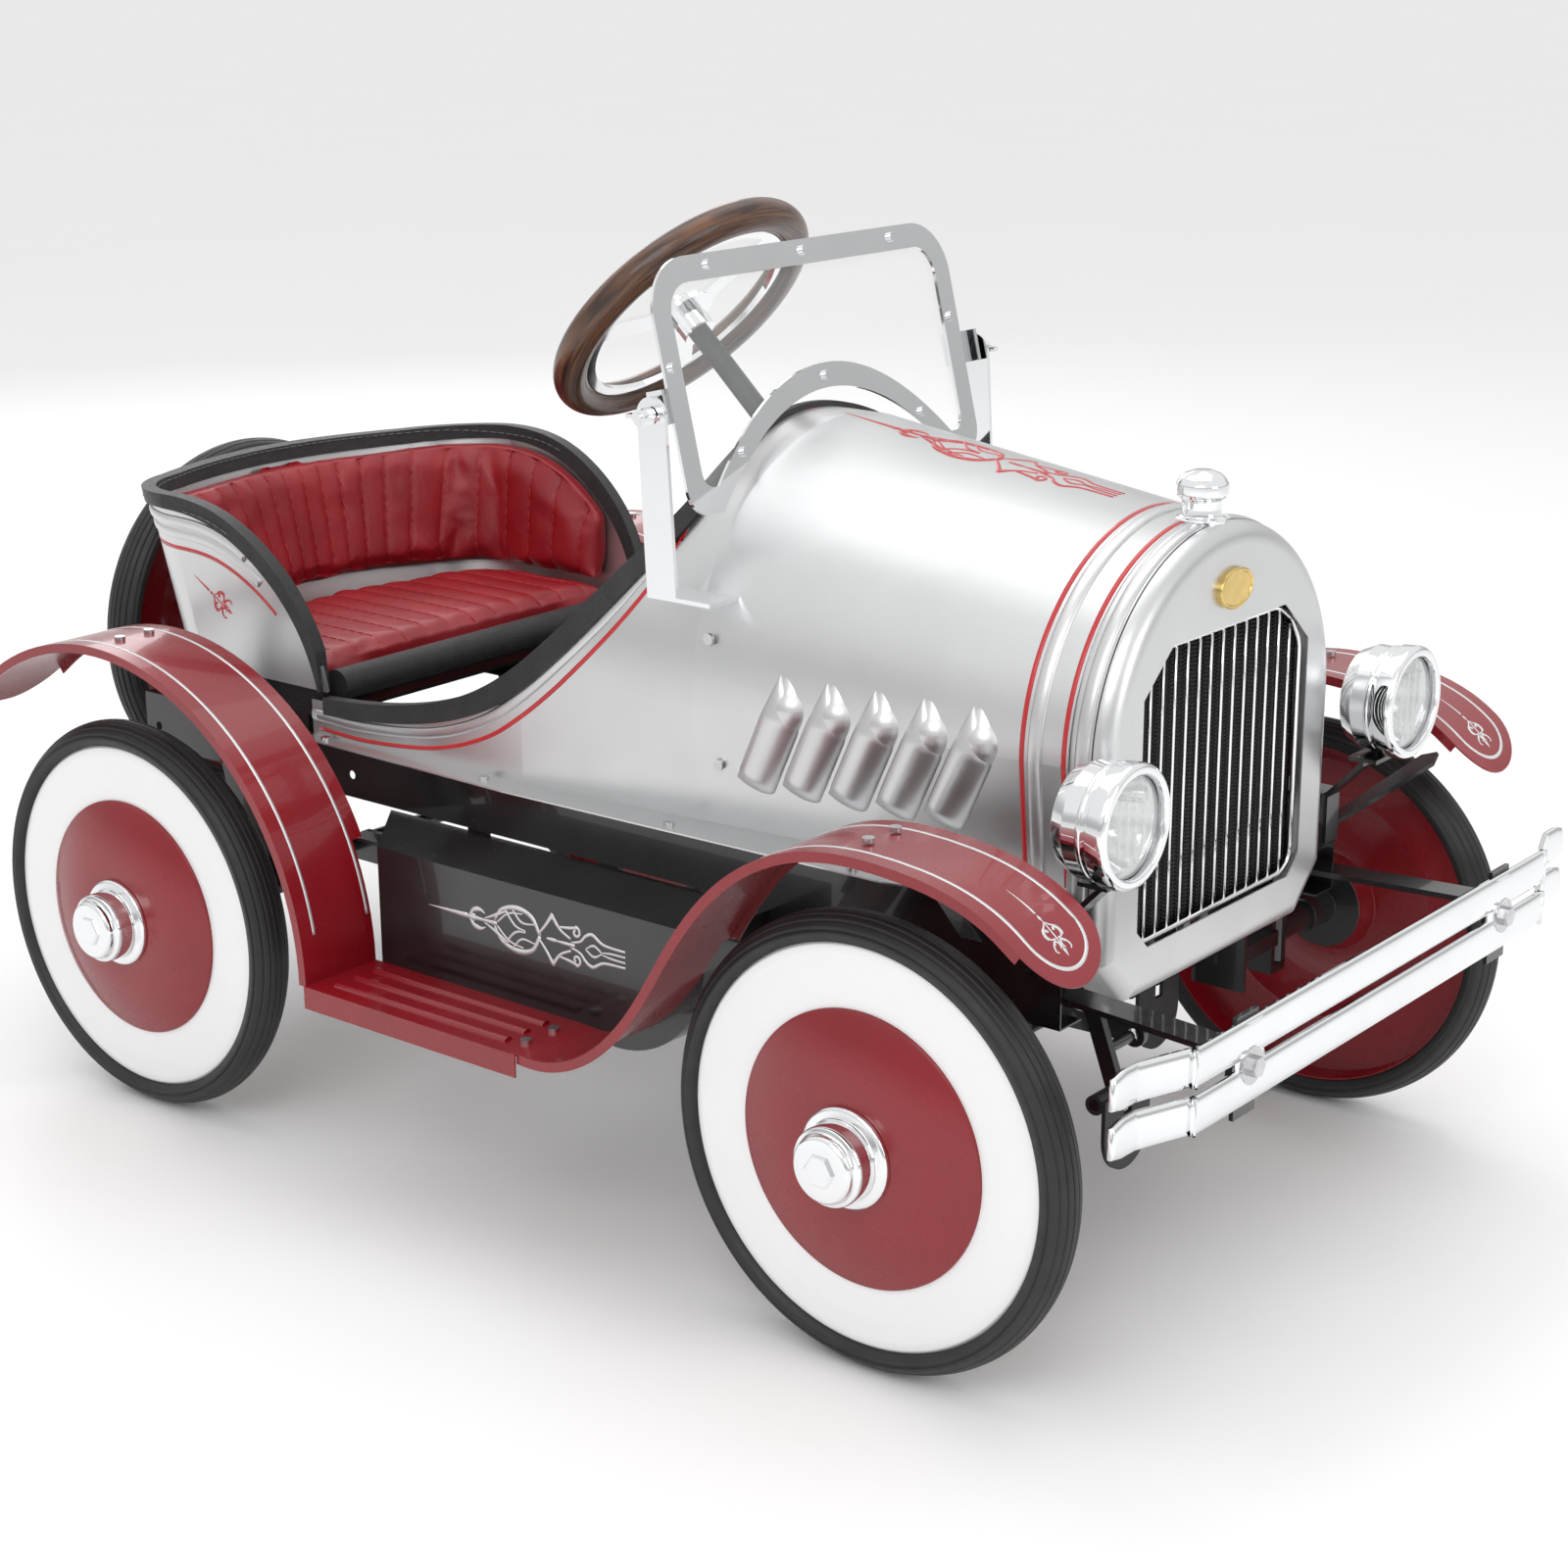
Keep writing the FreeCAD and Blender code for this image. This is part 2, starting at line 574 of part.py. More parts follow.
# ---- seat ---------------------------------------------------------------------------------
def seat_wire(plan, inset, z):
    half_width, side_x, corner_x, back_x, rear_x = plan
    w = half_width - inset
    corner_y = half_width - 19 - inset * 0.8
    back_y = half_width * 0.685 - inset * 0.5
    shift = inset
    front = SEAT_FRONT_X
    return Part.Wire([
        Part.makeLine(V(front, -w, z), V(front, w, z)),
        Part.makeLine(V(front, w, z), V(side_x, w, z)),
        Part.Arc(V(side_x, w, z), V(corner_x + shift * 0.7, corner_y, z),
                 V(back_x + shift, back_y, z)).toShape(),
        Part.Arc(V(back_x + shift, back_y, z), V(rear_x + shift, 0, z),
                 V(back_x + shift, -back_y, z)).toShape(),
        Part.Arc(V(back_x + shift, -back_y, z), V(corner_x + shift * 0.7, -corner_y, z),
                 V(side_x, -w, z)).toShape(),
        Part.makeLine(V(side_x, -w, z), V(front, -w, z))])


def seat_block(inset):
    """Everything inside the tub's flaring walls, moved in by inset."""
    return Part.makeLoft([seat_wire(SEAT_FOOT_PLAN, inset, SEAT_Z[0]),
                          seat_wire(SEAT_TOP_PLAN, inset, SEAT_Z[1] + 10)], True, True)


def above_arms(dx, dz):
    """Everything above the line of the seat's arms and back, moved by dx and dz."""
    return band_above(moved(ARM_CURVE, dx, dz), 530, -250, 250)


def mirrored_plan(half, inset=0.0):
    """Outline in the XY plane from the points of its left half, moved in by inset."""
    left = [(x + inset if x < SEAT_FRONT_X - 100 else x, max(0.0, y - inset)) for x, y in half]
    return left + [(x, -y) for x, y in reversed(left) if y > 0]


def seat_tub():
    open_front = block(SEAT_FRONT_X - 1, SEAT_FRONT_X + 50, -250, 250, 250, 520)
    walls = seat_block(0).cut(seat_block(3)).cut(above_arms(0, 0)).cut(open_front)
    rim = seat_block(-4).cut(seat_block(7)).cut(above_arms(2, 4))
    rim = rim.common(above_arms(-5, -8)).cut(open_front).cut(walls)
    return walls, rim


def seat_back_pad(rim):
    """Padded lining of the tub above the cushion and under the rim's piping."""
    pad = seat_block(3.2).cut(seat_block(PAD_THICKNESS + 3)).cut(above_arms(0, -9))
    pad = pad.common(block(-900, -640, -250, 250, CUSHION_Z[1] + 1, 520))
    return pad.cut(rim)


def seat_pan():
    """Shallow tray under the cushion, on four feet."""
    floor = prism_xy(mirrored_plan(TRAY_PLAN), CUSHION_Z[0] - TRAY_WALL, CUSHION_Z[0])
    skirt = prism_xy(mirrored_plan(TRAY_PLAN), CUSHION_Z[0], SEAT_Z[0])
    open_plan = [(SEAT_FRONT_X, TRAY_PLAN[0][1])] + list(TRAY_PLAN[1:])
    hollow = prism_xy(mirrored_plan(open_plan, TRAY_WALL), CUSHION_Z[0], SEAT_Z[0])
    feet = []
    for x in SEAT_FOOT_X:
        feet += both(block(x - 14, x + 14, 150, 176, RAIL_TOP, CUSHION_Z[0] - TRAY_WALL))
    return [joined([floor, skirt.cut(hollow)])] + feet


def seat():
    walls, rim = seat_tub()
    piece("seat_tub", walls)
    piece("seat_cushion", prism_xy(mirrored_plan(CUSHION_PLAN), *CUSHION_Z))
    piece("seat_back_pad", seat_back_pad(rim))
    other_end = V(FRONT_ROLL.x, -FRONT_ROLL.y, FRONT_ROLL.z)
    piece("seat_piping", rim, rod(other_end, FRONT_ROLL, FRONT_ROLL_RADIUS))
    piece("seat_pan", *seat_pan())


# ---- fenders, boards and boxes ------------------------------------------------------------
def front_fender_sheet(depth, y0, y1):
    points = [V(x, y0, z) for x, z in FRONT_FENDER]
    curve = smooth(points)
    inner = []
    for point in points:
        run = curve.tangent(curve.parameter(point))[0]
        inner.append(point + V(-run.z, 0, run.x).normalize() * depth)
    edge = smooth(inner)
    face = Part.Face(Part.Wire([curve.toShape(), Part.makeLine(points[-1], inner[-1]),
                                edge.toShape(), Part.makeLine(inner[0], points[0])]))
    return face.extrude(V(0, y1 - y0, 0))


def front_fender():
    top = front_fender_sheet(SHEET, *FENDER_Y)
    outer = front_fender_sheet(FENDER_ROLL, FENDER_Y[1] - SHEET, FENDER_Y[1])
    inner = front_fender_sheet(FENDER_ROLL, FENDER_Y[0], FENDER_Y[0] + SHEET)
    whole = joined([top, outer, inner]).cut(step_space())
    return rounded_nose(whole, V(0, 0, AXLE_Z), 43.0, 206.0)


def rear_fender():
    top = fender_arc(REAR_FENDER_RADIUS - SHEET, FENDER_Y[0], FENDER_Y[1])
    outer = fender_arc(REAR_FENDER_RADIUS - FENDER_ROLL, FENDER_Y[1] - SHEET, FENDER_Y[1])
    inner = fender_arc(REAR_FENDER_RADIUS - FENDER_ROLL, FENDER_Y[0], FENDER_Y[0] + SHEET)
    hub = V(-WHEELBASE, 0, AXLE_Z)
    whole = joined([top, outer, inner]).cut(step_space())
    return rounded_nose(whole, hub, REAR_FENDER_SWEEP, REAR_FENDER_RADIUS)


def step_space():
    """Room that the step box and the running board take, which the fenders are trimmed around."""
    box = block(BOX_X[0], BOX_X[1] + 40, RAIL_Y, BOX_Y, BOX_Z[0] - 20, BOX_Z[1])
    board = block(*BOARD_X, RAIL_Y, FENDER_Y[1] + 2, BOARD_SKIRT, BOARD_Z + 2)
    return box.fuse(board)


def fender_arc(inner_radius, y0, y1):
    hub = V(-WHEELBASE, 0, AXLE_Z)
    corners = [hub + V(r, y, 0) for r, y in ((inner_radius, y0), (REAR_FENDER_RADIUS, y0),
                                            (REAR_FENDER_RADIUS, y1), (inner_radius, y1))]
    face = Part.Face(Part.makePolygon(corners + corners[:1]))
    return face.revolve(hub, V(0, -1, 0), REAR_FENDER_SWEEP)


def rounded_nose(shape, hub, angle, radius):
    """Rounds a fender's free end to a half circle, seen square to the sheet."""
    half = (FENDER_Y[1] - FENDER_Y[0]) / 2
    middle = (FENDER_Y[1] + FENDER_Y[0]) / 2
    end = math.radians(angle)
    turn = -1 if angle < 90 else 1
    back = end + -turn * half / radius
    out = V(math.cos(back), 0, math.sin(back))
    root = hub + V(0, middle, 0)
    disc = rod(root + out * (radius - 50), root + out * (radius + 50), half)
    along = V(-math.sin(back), 0, math.cos(back)) * turn
    corner = Part.makeBox(200, 2 * half + 2, 100)
    corner.translate(V(0, -half - 1, -50))
    frame = FreeCAD.Rotation(along, V(0, 1, 0), out, "XZY")
    corner.Placement = FreeCAD.Placement(root + out * radius, frame).multiply(corner.Placement)
    return shape.cut(corner.cut(disc))


def running_board():
    """Ribbed tread with a skirt along its outer edge."""
    x0, x1 = BOARD_X
    tread = block(x0, x1, BOX_Y, FENDER_Y[1] + 2, BOARD_Z - SHEET, BOARD_Z)
    skirt = block(x0, x1, FENDER_Y[1] + 2 - SHEET, FENDER_Y[1] + 2, BOARD_SKIRT, BOARD_Z)
    ribs = []
    for index in range(3):
        y = BOX_Y + 17 + index * 19
        ribs.append(rod(V(x0 + 18, y, BOARD_Z - 2), V(x1 - 22, y, BOARD_Z - 2), 4.5))
    cutter = block(x0, x1, BOX_Y, FENDER_Y[1], BOARD_Z - 20, BOARD_Z - SHEET)
    return joined([tread, skirt] + ribs).cut(cutter)


def side_box():
    """Black step box between the rail and the running board, open towards the rail."""
    outer = box_profile(0).extrude(V(0, BOX_Y - RAIL_Y, 0))
    inner = box_profile(SHEET).extrude(V(0, BOX_Y - RAIL_Y - SHEET, 0))
    slant = prism_xy([(BOX_X[0] - 5, RAIL_Y), (BOX_X[0], RAIL_Y), (BOX_X[0] + 58, BOX_Y),
                      (BOX_X[0] + 58, BOX_Y + 5), (BOX_X[0] - 5, BOX_Y + 5)], 100, 300)
    wall = prism_xy([(BOX_X[0], RAIL_Y), (BOX_X[0] + SHEET, RAIL_Y), (BOX_X[0] + 60, BOX_Y),
                     (BOX_X[0] + 58, BOX_Y)], BOX_Z[0], BOX_Z[1])
    return joined([outer.cut(inner).cut(slant), wall])


def box_profile(inset):
    x0, x1 = BOX_X[0] + inset, BOX_X[1] - inset
    z0, z1 = BOX_Z[0] + inset, BOX_Z[1] - inset
    y = RAIL_Y
    toe = V(x1 - 78, y, z0)
    curve = Part.Arc(V(x1, y, z1 - 26), V(x1 - 18, y, z0 + 30), toe).toShape()
    lines = Part.makePolygon([toe, V(x0, y, z0), V(x0, y, z1), V(x1, y, z1), V(x1, y, z1 - 26)])
    return Part.Face(Part.Wire([curve] + lines.Edges))


# ---- lamps, bumper and windshield ---------------------------------------------------------
def headlights():
    housings, rings, lenses, stems = [], [], [], []
    back = LAMP.x - 20
    drum = revolved([(0, back), (24, back), (34, back + 6), (LAMP_RADIUS, back + 16),
                     (LAMP_RADIUS, back + 40), (35, back + 40), (35, back + 17), (32, back + 8),
                     (23, back + 2.5), (0, back + 2.5)], V(0, LAMP.y, LAMP.z), FORWARD)
    ring = revolved([(LAMP_RADIUS, back + 34), (LAMP_RING_RADIUS, back + 34),
                     (LAMP_RING_RADIUS, back + 45), (38, back + 48), (33, back + 48),
                     (33, back + 44), (LAMP_RADIUS, back + 44)], V(0, LAMP.y, LAMP.z), FORWARD)
    lens = rod(V(back + 40, LAMP.y, LAMP.z), V(back + 44, LAMP.y, LAMP.z), 34.5)
    stem = prism_xz([(RAIL_FRONT_X, 255), (RAIL_FRONT_X + 3, 255), (RAIL_FRONT_X + 3, 290),
                     (LAMP.x + 2, 318), (LAMP.x + 2, LAMP.z - LAMP_RADIUS),
                     (LAMP.x - 1, LAMP.z - LAMP_RADIUS), (LAMP.x - 1, 320),
                     (RAIL_FRONT_X, 292)], 160, 178)
    foot = block(LAMP.x - 10, LAMP.x + 12, 160, LAMP.y + 8, LAMP.z - LAMP_RADIUS - 5,
                 LAMP.z - LAMP_RADIUS - 2)
    stem = joined([stem, foot]).cut(rod(V(0, LAMP.y, LAMP.z), V(200, LAMP.y, LAMP.z),
                                        LAMP_RADIUS))
    post = rod(V(LAMP.x, LAMP.y, LAMP.z - LAMP_RADIUS - 5), V(LAMP.x, LAMP.y, LAMP.z - 30), 5)
    stem = joined([stem, post]).cut(rod(V(0, LAMP.y, LAMP.z), V(200, LAMP.y, LAMP.z),
                                        LAMP_RADIUS))
    for shape, group in ((drum, housings), (ring, rings), (lens, lenses), (stem, stems)):
        group += both(shape)
    piece("headlight_housings", *housings, *rings)
    piece("headlight_lenses", *lenses)
    piece("headlight_brackets", *stems)


def bumper_strip(z0, z1):
    """One flat bar of the bumper with its jogged ends."""
    front = [(BUMPER_X + dx, y) for y, dx in BUMPER_JOG]
    back = [(x - 3, y) for x, y in reversed(front)]
    half = [(BUMPER_X, 0)] + front + back + [(BUMPER_X - 3, 0)]
    strip = prism_xy(half, z0, z1)
    return [strip, mirrored(strip)]


def bumper():
    middle = (BUMPER_Z[0] + BUMPER_Z[1]) / 2
    strips = bumper_strip(BUMPER_Z[0], middle - BUMPER_SLIT / 2 - 1.5)
    strips += bumper_strip(middle + BUMPER_SLIT / 2 + 1.5, BUMPER_Z[1])
    ties = both(block(BUMPER_X - 3, BUMPER_X, 155, 190, BUMPER_Z[0], BUMPER_Z[1]))
    clips = both(block(BUMPER_X - 6, BUMPER_X - 3, 162, 188, BUMPER_Z[0] - 9, BUMPER_Z[1] + 3))
    piece("bumper", joined(strips + ties))
    arm = prism_xy([(RAIL_FRONT_X - 20, 150), (RAIL_FRONT_X - 20, 173), (196, 190), (196, 166)],
                   232, 236)
    tab = block(196, BUMPER_X - 6, 164, 188, 208, 242)
    piece("bumper_arms", *both(joined([arm, tab])), *clips)


def fasteners():
    """Body screws, fender screws and bumper bolts, each its own small solid."""
    heads = []
    washer = BUMPER_BOLT
    heads.append(joined([rod(washer, washer + FORWARD * 2, 12.5),
                         hexagon(washer + FORWARD * 2, FORWARD, 7, 5)]))
    for x in (-600.0, -430.0, -250.0, -90.0):
        foot_screw = V(x, FLANGE_SCREW_Y, RAIL_TOP + SHEET)
        heads.append(rod(foot_screw, foot_screw + UP * SCREW_HEIGHT, SCREW_RADIUS))
    for x, z in ((-226.5, 428.0), (-220.0, 339.0)):
        y = hood_side_y(x, min(z, ARCH_SPRING_Z)) - (4 if z > ARCH_SPRING_Z else 0)
        heads.append(rod(V(x, y + 0.5, z), V(x, y + 3, z), SCREW_RADIUS))
    for y in (264.0, 292.0):
        for crest in (V(0, y, FENDER_CREST_Z), V(-WHEELBASE, y, AXLE_Z + REAR_FENDER_RADIUS)):
            heads.append(rod(crest, crest + UP * 3, SCREW_RADIUS))
        board_screw = V(BOARD_X[1] - 10, y + 8, BOARD_Z)
        heads.append(rod(board_screw, board_screw + UP * SCREW_HEIGHT, SCREW_RADIUS))
    return [side for head in heads for side in both(head)]


def in_screen(shape):
    """Leans a shape drawn upright at the windshield's base back to its rake."""
    shape.rotate(V(0, 0, 0), ACROSS, -SCREEN_TILT)
    shape.translate(SCREEN_BASE)
    return shape


def screen_plate(margin, x0, x1):
    """Outer outline of the windshield, drawn upright with its base at the origin."""
    w = SCREEN_HALF_WIDTH - margin
    top = SCREEN_TOP - margin
    low = SCREEN_LOBE + margin
    plate = block(x0, x1, -w, w, low, top)
    for y in (-w, w):
        for z, radius in ((top, 40.0 - margin), (low, 20.0 - margin / 2)):
            plate = plate.cut(corner_outside(x0, x1, y, z, radius))
    arch = arch_under(x0, x1, -SCREEN_STRIP / 2 + margin)
    return plate.cut(arch)


def corner_outside(x0, x1, y, z, radius):
    inward_y = -1 if y > 0 else 1
    inward_z = -1 if z > 0 else 1
    centre = V(x0, y + inward_y * radius, z + inward_z * radius)
    square = block(x0, x1, min(y, centre.y), max(y, centre.y), min(z, centre.z), max(z, centre.z))
    return square.cut(rod(centre, centre + V(x1 - x0, 0, 0), radius))


def arch_under(x0, x1, lift):
    """Everything under the parabola that clears the hood, raised by lift."""
    fall = SCREEN_ARCH_FALL
    span = SCREEN_ARCH_SPAN
    curve = Part.BezierCurve()
    curve.setPoles([V(x0, -span, lift - fall), V(x0, 0, lift + fall), V(x0, span, lift - fall)])
    floor = lift - fall - 40
    base = Part.makePolygon([V(x0, span, lift - fall), V(x0, span, floor),
                             V(x0, -span, floor), V(x0, -span, lift - fall)])
    return Part.Face(Part.Wire([curve.toShape()] + base.Edges)).extrude(V(x1 - x0, 0, 0))


def windshield():
    """Bright strip frame with its screws and pivot brackets, and the clear pane behind it."""
    strip = SCREEN_STRIP
    plate = screen_plate(0, 0, 2.5)
    window = screen_plate(strip, -1, 4).cut(arch_under(-1, 4, strip / 2))
    solids = [in_screen(plate.cut(window))]
    for y, rise in ((0, 90), (105, 90), (161, 25), (104.6, -40.6), (0, 0)):
        for side in ((y,) if y == 0 else (y, -y)):
            solids.append(in_screen(rod(V(2.5, side, rise), V(5, side, rise), 3.5)))
    solids += both(pivot_bracket())
    piece("windshield_frame", *solids)
    piece("windshield_pane", in_screen(screen_plate(4, -3, 0)))


def pivot_bracket():
    """Angle behind the pane with the threaded stud that the wing nut runs on."""
    edge = SCREEN_HALF_WIDTH
    ear_y = POST_Y - 5
    tab = block(-6, -3, edge - 14, ear_y, -12, 12)
    ear = block(-6, 8, ear_y - 3, ear_y, -12, 12)
    angle = in_screen(joined([tab, ear]))
    stud = rod(V(SCREEN_PIVOT.x, ear_y - 1, SCREEN_PIVOT.z),
               V(SCREEN_PIVOT.x, POST_Y + 15, SCREEN_PIVOT.z), STUD_RADIUS)
    return joined([angle, stud])


def wing_nut():
    x, z = SCREEN_PIVOT.x, SCREEN_PIVOT.z
    inner = POST_Y + 2.5
    hub = rod(V(x, inner, z), V(x, inner + 11, z), 6)
    wings = block(x - 13, x + 13, inner + 4, inner + 10, z - 1.5, z + 1.5)
    bore = rod(V(x, inner - 1, z), V(x, inner + 12, z), STUD_RADIUS + RUNNING_FIT)
    return joined([hub, wings]).cut(bore)


def windshield_post():
    """Flat bright strip with a foot bent in to the cowl and a round head on the pivot."""
    x = SCREEN_PIVOT.x
    strip = prism_xz([(x - 6, 457), (x + 20, 457), (x + 12.5, SCREEN_PIVOT.z),
                      (x - 12.5, SCREEN_PIVOT.z)], POST_Y - 1.5, POST_Y + 1.5)
    head = rod(V(x, POST_Y - 1.5, SCREEN_PIVOT.z), V(x, POST_Y + 1.5, SCREEN_PIVOT.z), 12.5)
    foot = block(x - 6, x + 50, 150, POST_Y + 1.5, 454, 457)
    foot = foot.cut(hood_solid(0, RAIL_TOP))
    bore = rod(V(x, 0, SCREEN_PIVOT.z), V(x, 250, SCREEN_PIVOT.z), STUD_RADIUS + RUNNING_FIT)
    return joined([strip, head, foot]).cut(bore)


# ---- steering -----------------------------------------------------------------------------
def column_axis():
    """Unit vector up the steering column."""
    tilt = math.radians(STEER_TILT)
    return V(-math.sin(tilt), 0, math.cos(tilt))


def column_point(distance):
    """Point on the column's axis, measured down from the hub."""
    return STEER_HUB - column_axis() * distance


def drop_arm_end():
    tilt = math.radians(STEER_TILT)
    return column_point(STEER_LENGTH) + V(-math.cos(tilt), 0, -math.sin(tilt)) * DROP_ARM


def steering_wheel():
    axis = column_axis()
    centre = STEER_HUB + axis * 12
    piece("steering_rim", Part.makeTorus(STEER_RIM_RADIUS, STEER_RIM_TUBE, centre, axis))
    downhill = axis.cross(ACROSS)
    plate = rod(STEER_HUB + axis * 6, STEER_HUB + axis * 10, 24)
    spokes = [plate]
    for turn in SPOKE_TURNS:
        out = FreeCAD.Rotation(axis, turn).multVec(downhill)
        flat = Part.makeBox(STEER_RIM_RADIUS - STEER_RIM_TUBE - 1, 18, 3, V(0, -9, 0))
        frame = FreeCAD.Rotation(out, axis.cross(out), axis, "ZXY")
        flat.Placement = FreeCAD.Placement(STEER_HUB + axis * 6.5, frame)
        spokes.append(flat)
    socket = rod(STEER_HUB - axis * 12, STEER_HUB + axis * 6, 13)
    ring = tube(STEER_HUB + axis * 6, STEER_HUB + axis * 10, STEER_RIM_RADIUS - 11.5,
                STEER_RIM_RADIUS - STEER_RIM_TUBE - 6)
    bore = rod(column_point(20), STEER_HUB + axis * 20, COLUMN_RADIUS)
    whole = joined(spokes + [socket, ring]).cut(bore)
    rim = Part.makeTorus(STEER_RIM_RADIUS, STEER_RIM_TUBE, centre, axis)
    dome = revolved([(0, 11), (12, 11), (12, 15), (9, 20), (0, 23)], STEER_HUB, axis)
    piece("steering_spokes", whole.cut(rim), dome)


def steering_column():
    """Shaft with the drop arm whose ball end drives the tie rod."""
    shaft = rod(column_point(STEER_LENGTH + 10), STEER_HUB + column_axis() * 11, COLUMN_RADIUS)
    low = column_point(STEER_LENGTH)
    end = drop_arm_end()
    neck = rod(low, end, 3.5)
    return joined([shaft, neck, Part.makeSphere(DROP_BALL, end)])


def spindle(side):
    """Knuckle on the kingpin with the stub axle and the steering arm."""
    z = AXLE_Z
    at = V(0, side * KINGPIN_Y, z)
    knuckle = rod(at - UP * 22.5, at + UP * 22.5, 10)
    wheel = V(0, side * WHEEL_Y, z)
    out = V(0, side, 0)
    stub = rod(at, wheel + out * (HUB_FACE + 12), AXLE_RADIUS)
    collar = rod(at, wheel - out * (HUB_BACK + SIDE_PLAY), 11)
    nut = axle_nut(wheel, out, SIDE_PLAY)
    arm = block(-STEER_ARM, 0, side * KINGPIN_Y - 7, side * KINGPIN_Y + 7, z - 18, z - 12)
    pin_at = V(-STEER_ARM, side * KINGPIN_Y, 0)
    pin = rod(pin_at + UP * (TIE_ROD_Z - 9), pin_at + UP * (z - 12), PIN_RADIUS)
    boss = rod(pin_at + UP * (TIE_ROD_Z + 7), pin_at + UP * (z - 12), 7)
    keeper = rod(pin_at + UP * (TIE_ROD_Z - 10), pin_at + UP * (TIE_ROD_Z - 7), 7)
    bore = rod(at - UP * 60, at + UP * 60, KINGPIN_RADIUS + RUNNING_FIT)
    return joined([knuckle, stub, collar, nut, arm, pin, boss, keeper]).cut(bore)


def tie_rod():
    """Rod between the steering arms, with a fork that the drop arm's ball works in."""
    z = TIE_ROD_Z
    ends = KINGPIN_Y
    whole = [rod(V(-STEER_ARM, -ends, z), V(-STEER_ARM, ends, z), TIE_ROD_RADIUS)]
    for y in (-ends, ends):
        whole.append(rod(V(-STEER_ARM, y, z - 6), V(-STEER_ARM, y, z + 6), 9))
    ball = drop_arm_end()
    along = V(ball.x + STEER_ARM, 0, ball.z - z)
    along.normalize()
    across = V(-along.z, 0, along.x) * 8
    tip = ball + along * 9
    root = V(-STEER_ARM, 0, z)
    outline = [((root - across).x, (root - across).z), ((tip - across).x, (tip - across).z),
               ((tip + across).x, (tip + across).z), ((root + across).x, (root + across).z)]
    gap = DROP_BALL + 1.0
    for y0 in (gap, -gap - 3):
        whole.append(prism_xz(outline, y0, y0 + 3))
    bridge_at = root + along * 40
    whole.append(rod(bridge_at - ACROSS * (gap + 3), bridge_at + ACROSS * (gap + 3), 5))
    whole = joined(whole)
    for y in (-ends, ends):
        whole = whole.cut(rod(V(-STEER_ARM, y, z - 20), V(-STEER_ARM, y, z + 20),
                              PIN_RADIUS + RUNNING_FIT))
    return whole


# ---- pedal drive --------------------------------------------------------------------------
def phase(side):
    """The right pedal starts forward and the left one back."""
    return 1 if side < 0 else -1


def crank_axle():
    """Rear axle with two throws half a turn apart and a nut on each end."""
    x = -WHEELBASE
    reach = WHEEL_Y + HUB_FACE + 12
    shapes = []
    low, high = PUSH_ROD_Y - 10.5, PUSH_ROD_Y + 10.5
    runs = [(-reach, -high), (-low, low), (high, reach)]
    for y0, y1 in runs:
        shapes.append(rod(V(x, y0, AXLE_Z), V(x, y1, AXLE_Z), AXLE_RADIUS))
    for side in (-1, 1):
        pin_x = x + phase(side) * CRANK_RADIUS
        a, b = sorted((side * low, side * high))
        shapes.append(rod(V(pin_x, a - 4, AXLE_Z), V(pin_x, b + 4, AXLE_Z), AXLE_RADIUS))
        for y in (a - 4, b - 2):
            x0, x1 = sorted((x, pin_x))
            shapes.append(block(x0, x1, y, y + 6, AXLE_Z - 8, AXLE_Z + 8))
            shapes.append(rod(V(x, y, AXLE_Z), V(x, y + 6, AXLE_Z), 8))
            shapes.append(rod(V(pin_x, y, AXLE_Z), V(pin_x, y + 6, AXLE_Z), 8))
    for side, play in ((1, SIDE_PLAY), (-1, 0)):
        out = V(0, side, 0)
        wheel = V(x, side * WHEEL_Y, AXLE_Z)
        shapes.append(axle_nut(wheel, out, play))
        start = wheel - out * (HUB_BACK + play)
        shapes.append(rod(start, start - out * 12, 11))
    return joined(shapes)


def rod_joint(side):
    """Centre of the push rod's joint on the pedal arm."""
    swing = math.radians(PEDAL_SWING * phase(side))
    return V(PEDAL_PIVOT.x + PEDAL_ROD_RADIUS * math.sin(swing), side * PUSH_ROD_Y,
             PEDAL_PIVOT.z - PEDAL_ROD_RADIUS * math.cos(swing))


def pad_pin(side):
    swing = math.radians(PEDAL_SWING * phase(side))
    return V(PEDAL_PIVOT.x + PEDAL_ARM * math.sin(swing), side * PEDAL_ARM_Y,
             PEDAL_PIVOT.z - PEDAL_ARM * math.cos(swing))


def push_rod(side):
    """Flat bar from the crank pin to the pedal arm."""
    y0 = side * PUSH_ROD_Y - 2.5
    y1 = y0 + 5
    rear = V(-WHEELBASE + phase(side) * CRANK_RADIUS, 0, AXLE_Z)
    front = rod_joint(side)
    along = V(front.x - rear.x, 0, front.z - rear.z)
    along.normalize()
    across = V(-along.z, 0, along.x) * 6
    bar = prism_xz([(p.x, p.z) for p in (rear - across, front - across, front + across,
                                         rear + across)], y0, y1)
    shapes = [bar]
    holes = []
    eyes = ((rear, 13, AXLE_RADIUS + RUNNING_FIT), (front, 9, PIN_RADIUS + 0.5))
    for point, outer, inner in eyes:
        shapes.append(rod(V(point.x, y0, point.z), V(point.x, y1, point.z), outer))
        holes.append(rod(V(point.x, y0 - 1, point.z), V(point.x, y1 + 1, point.z), inner))
    return joined(shapes).cut(holes[0]).cut(holes[1])


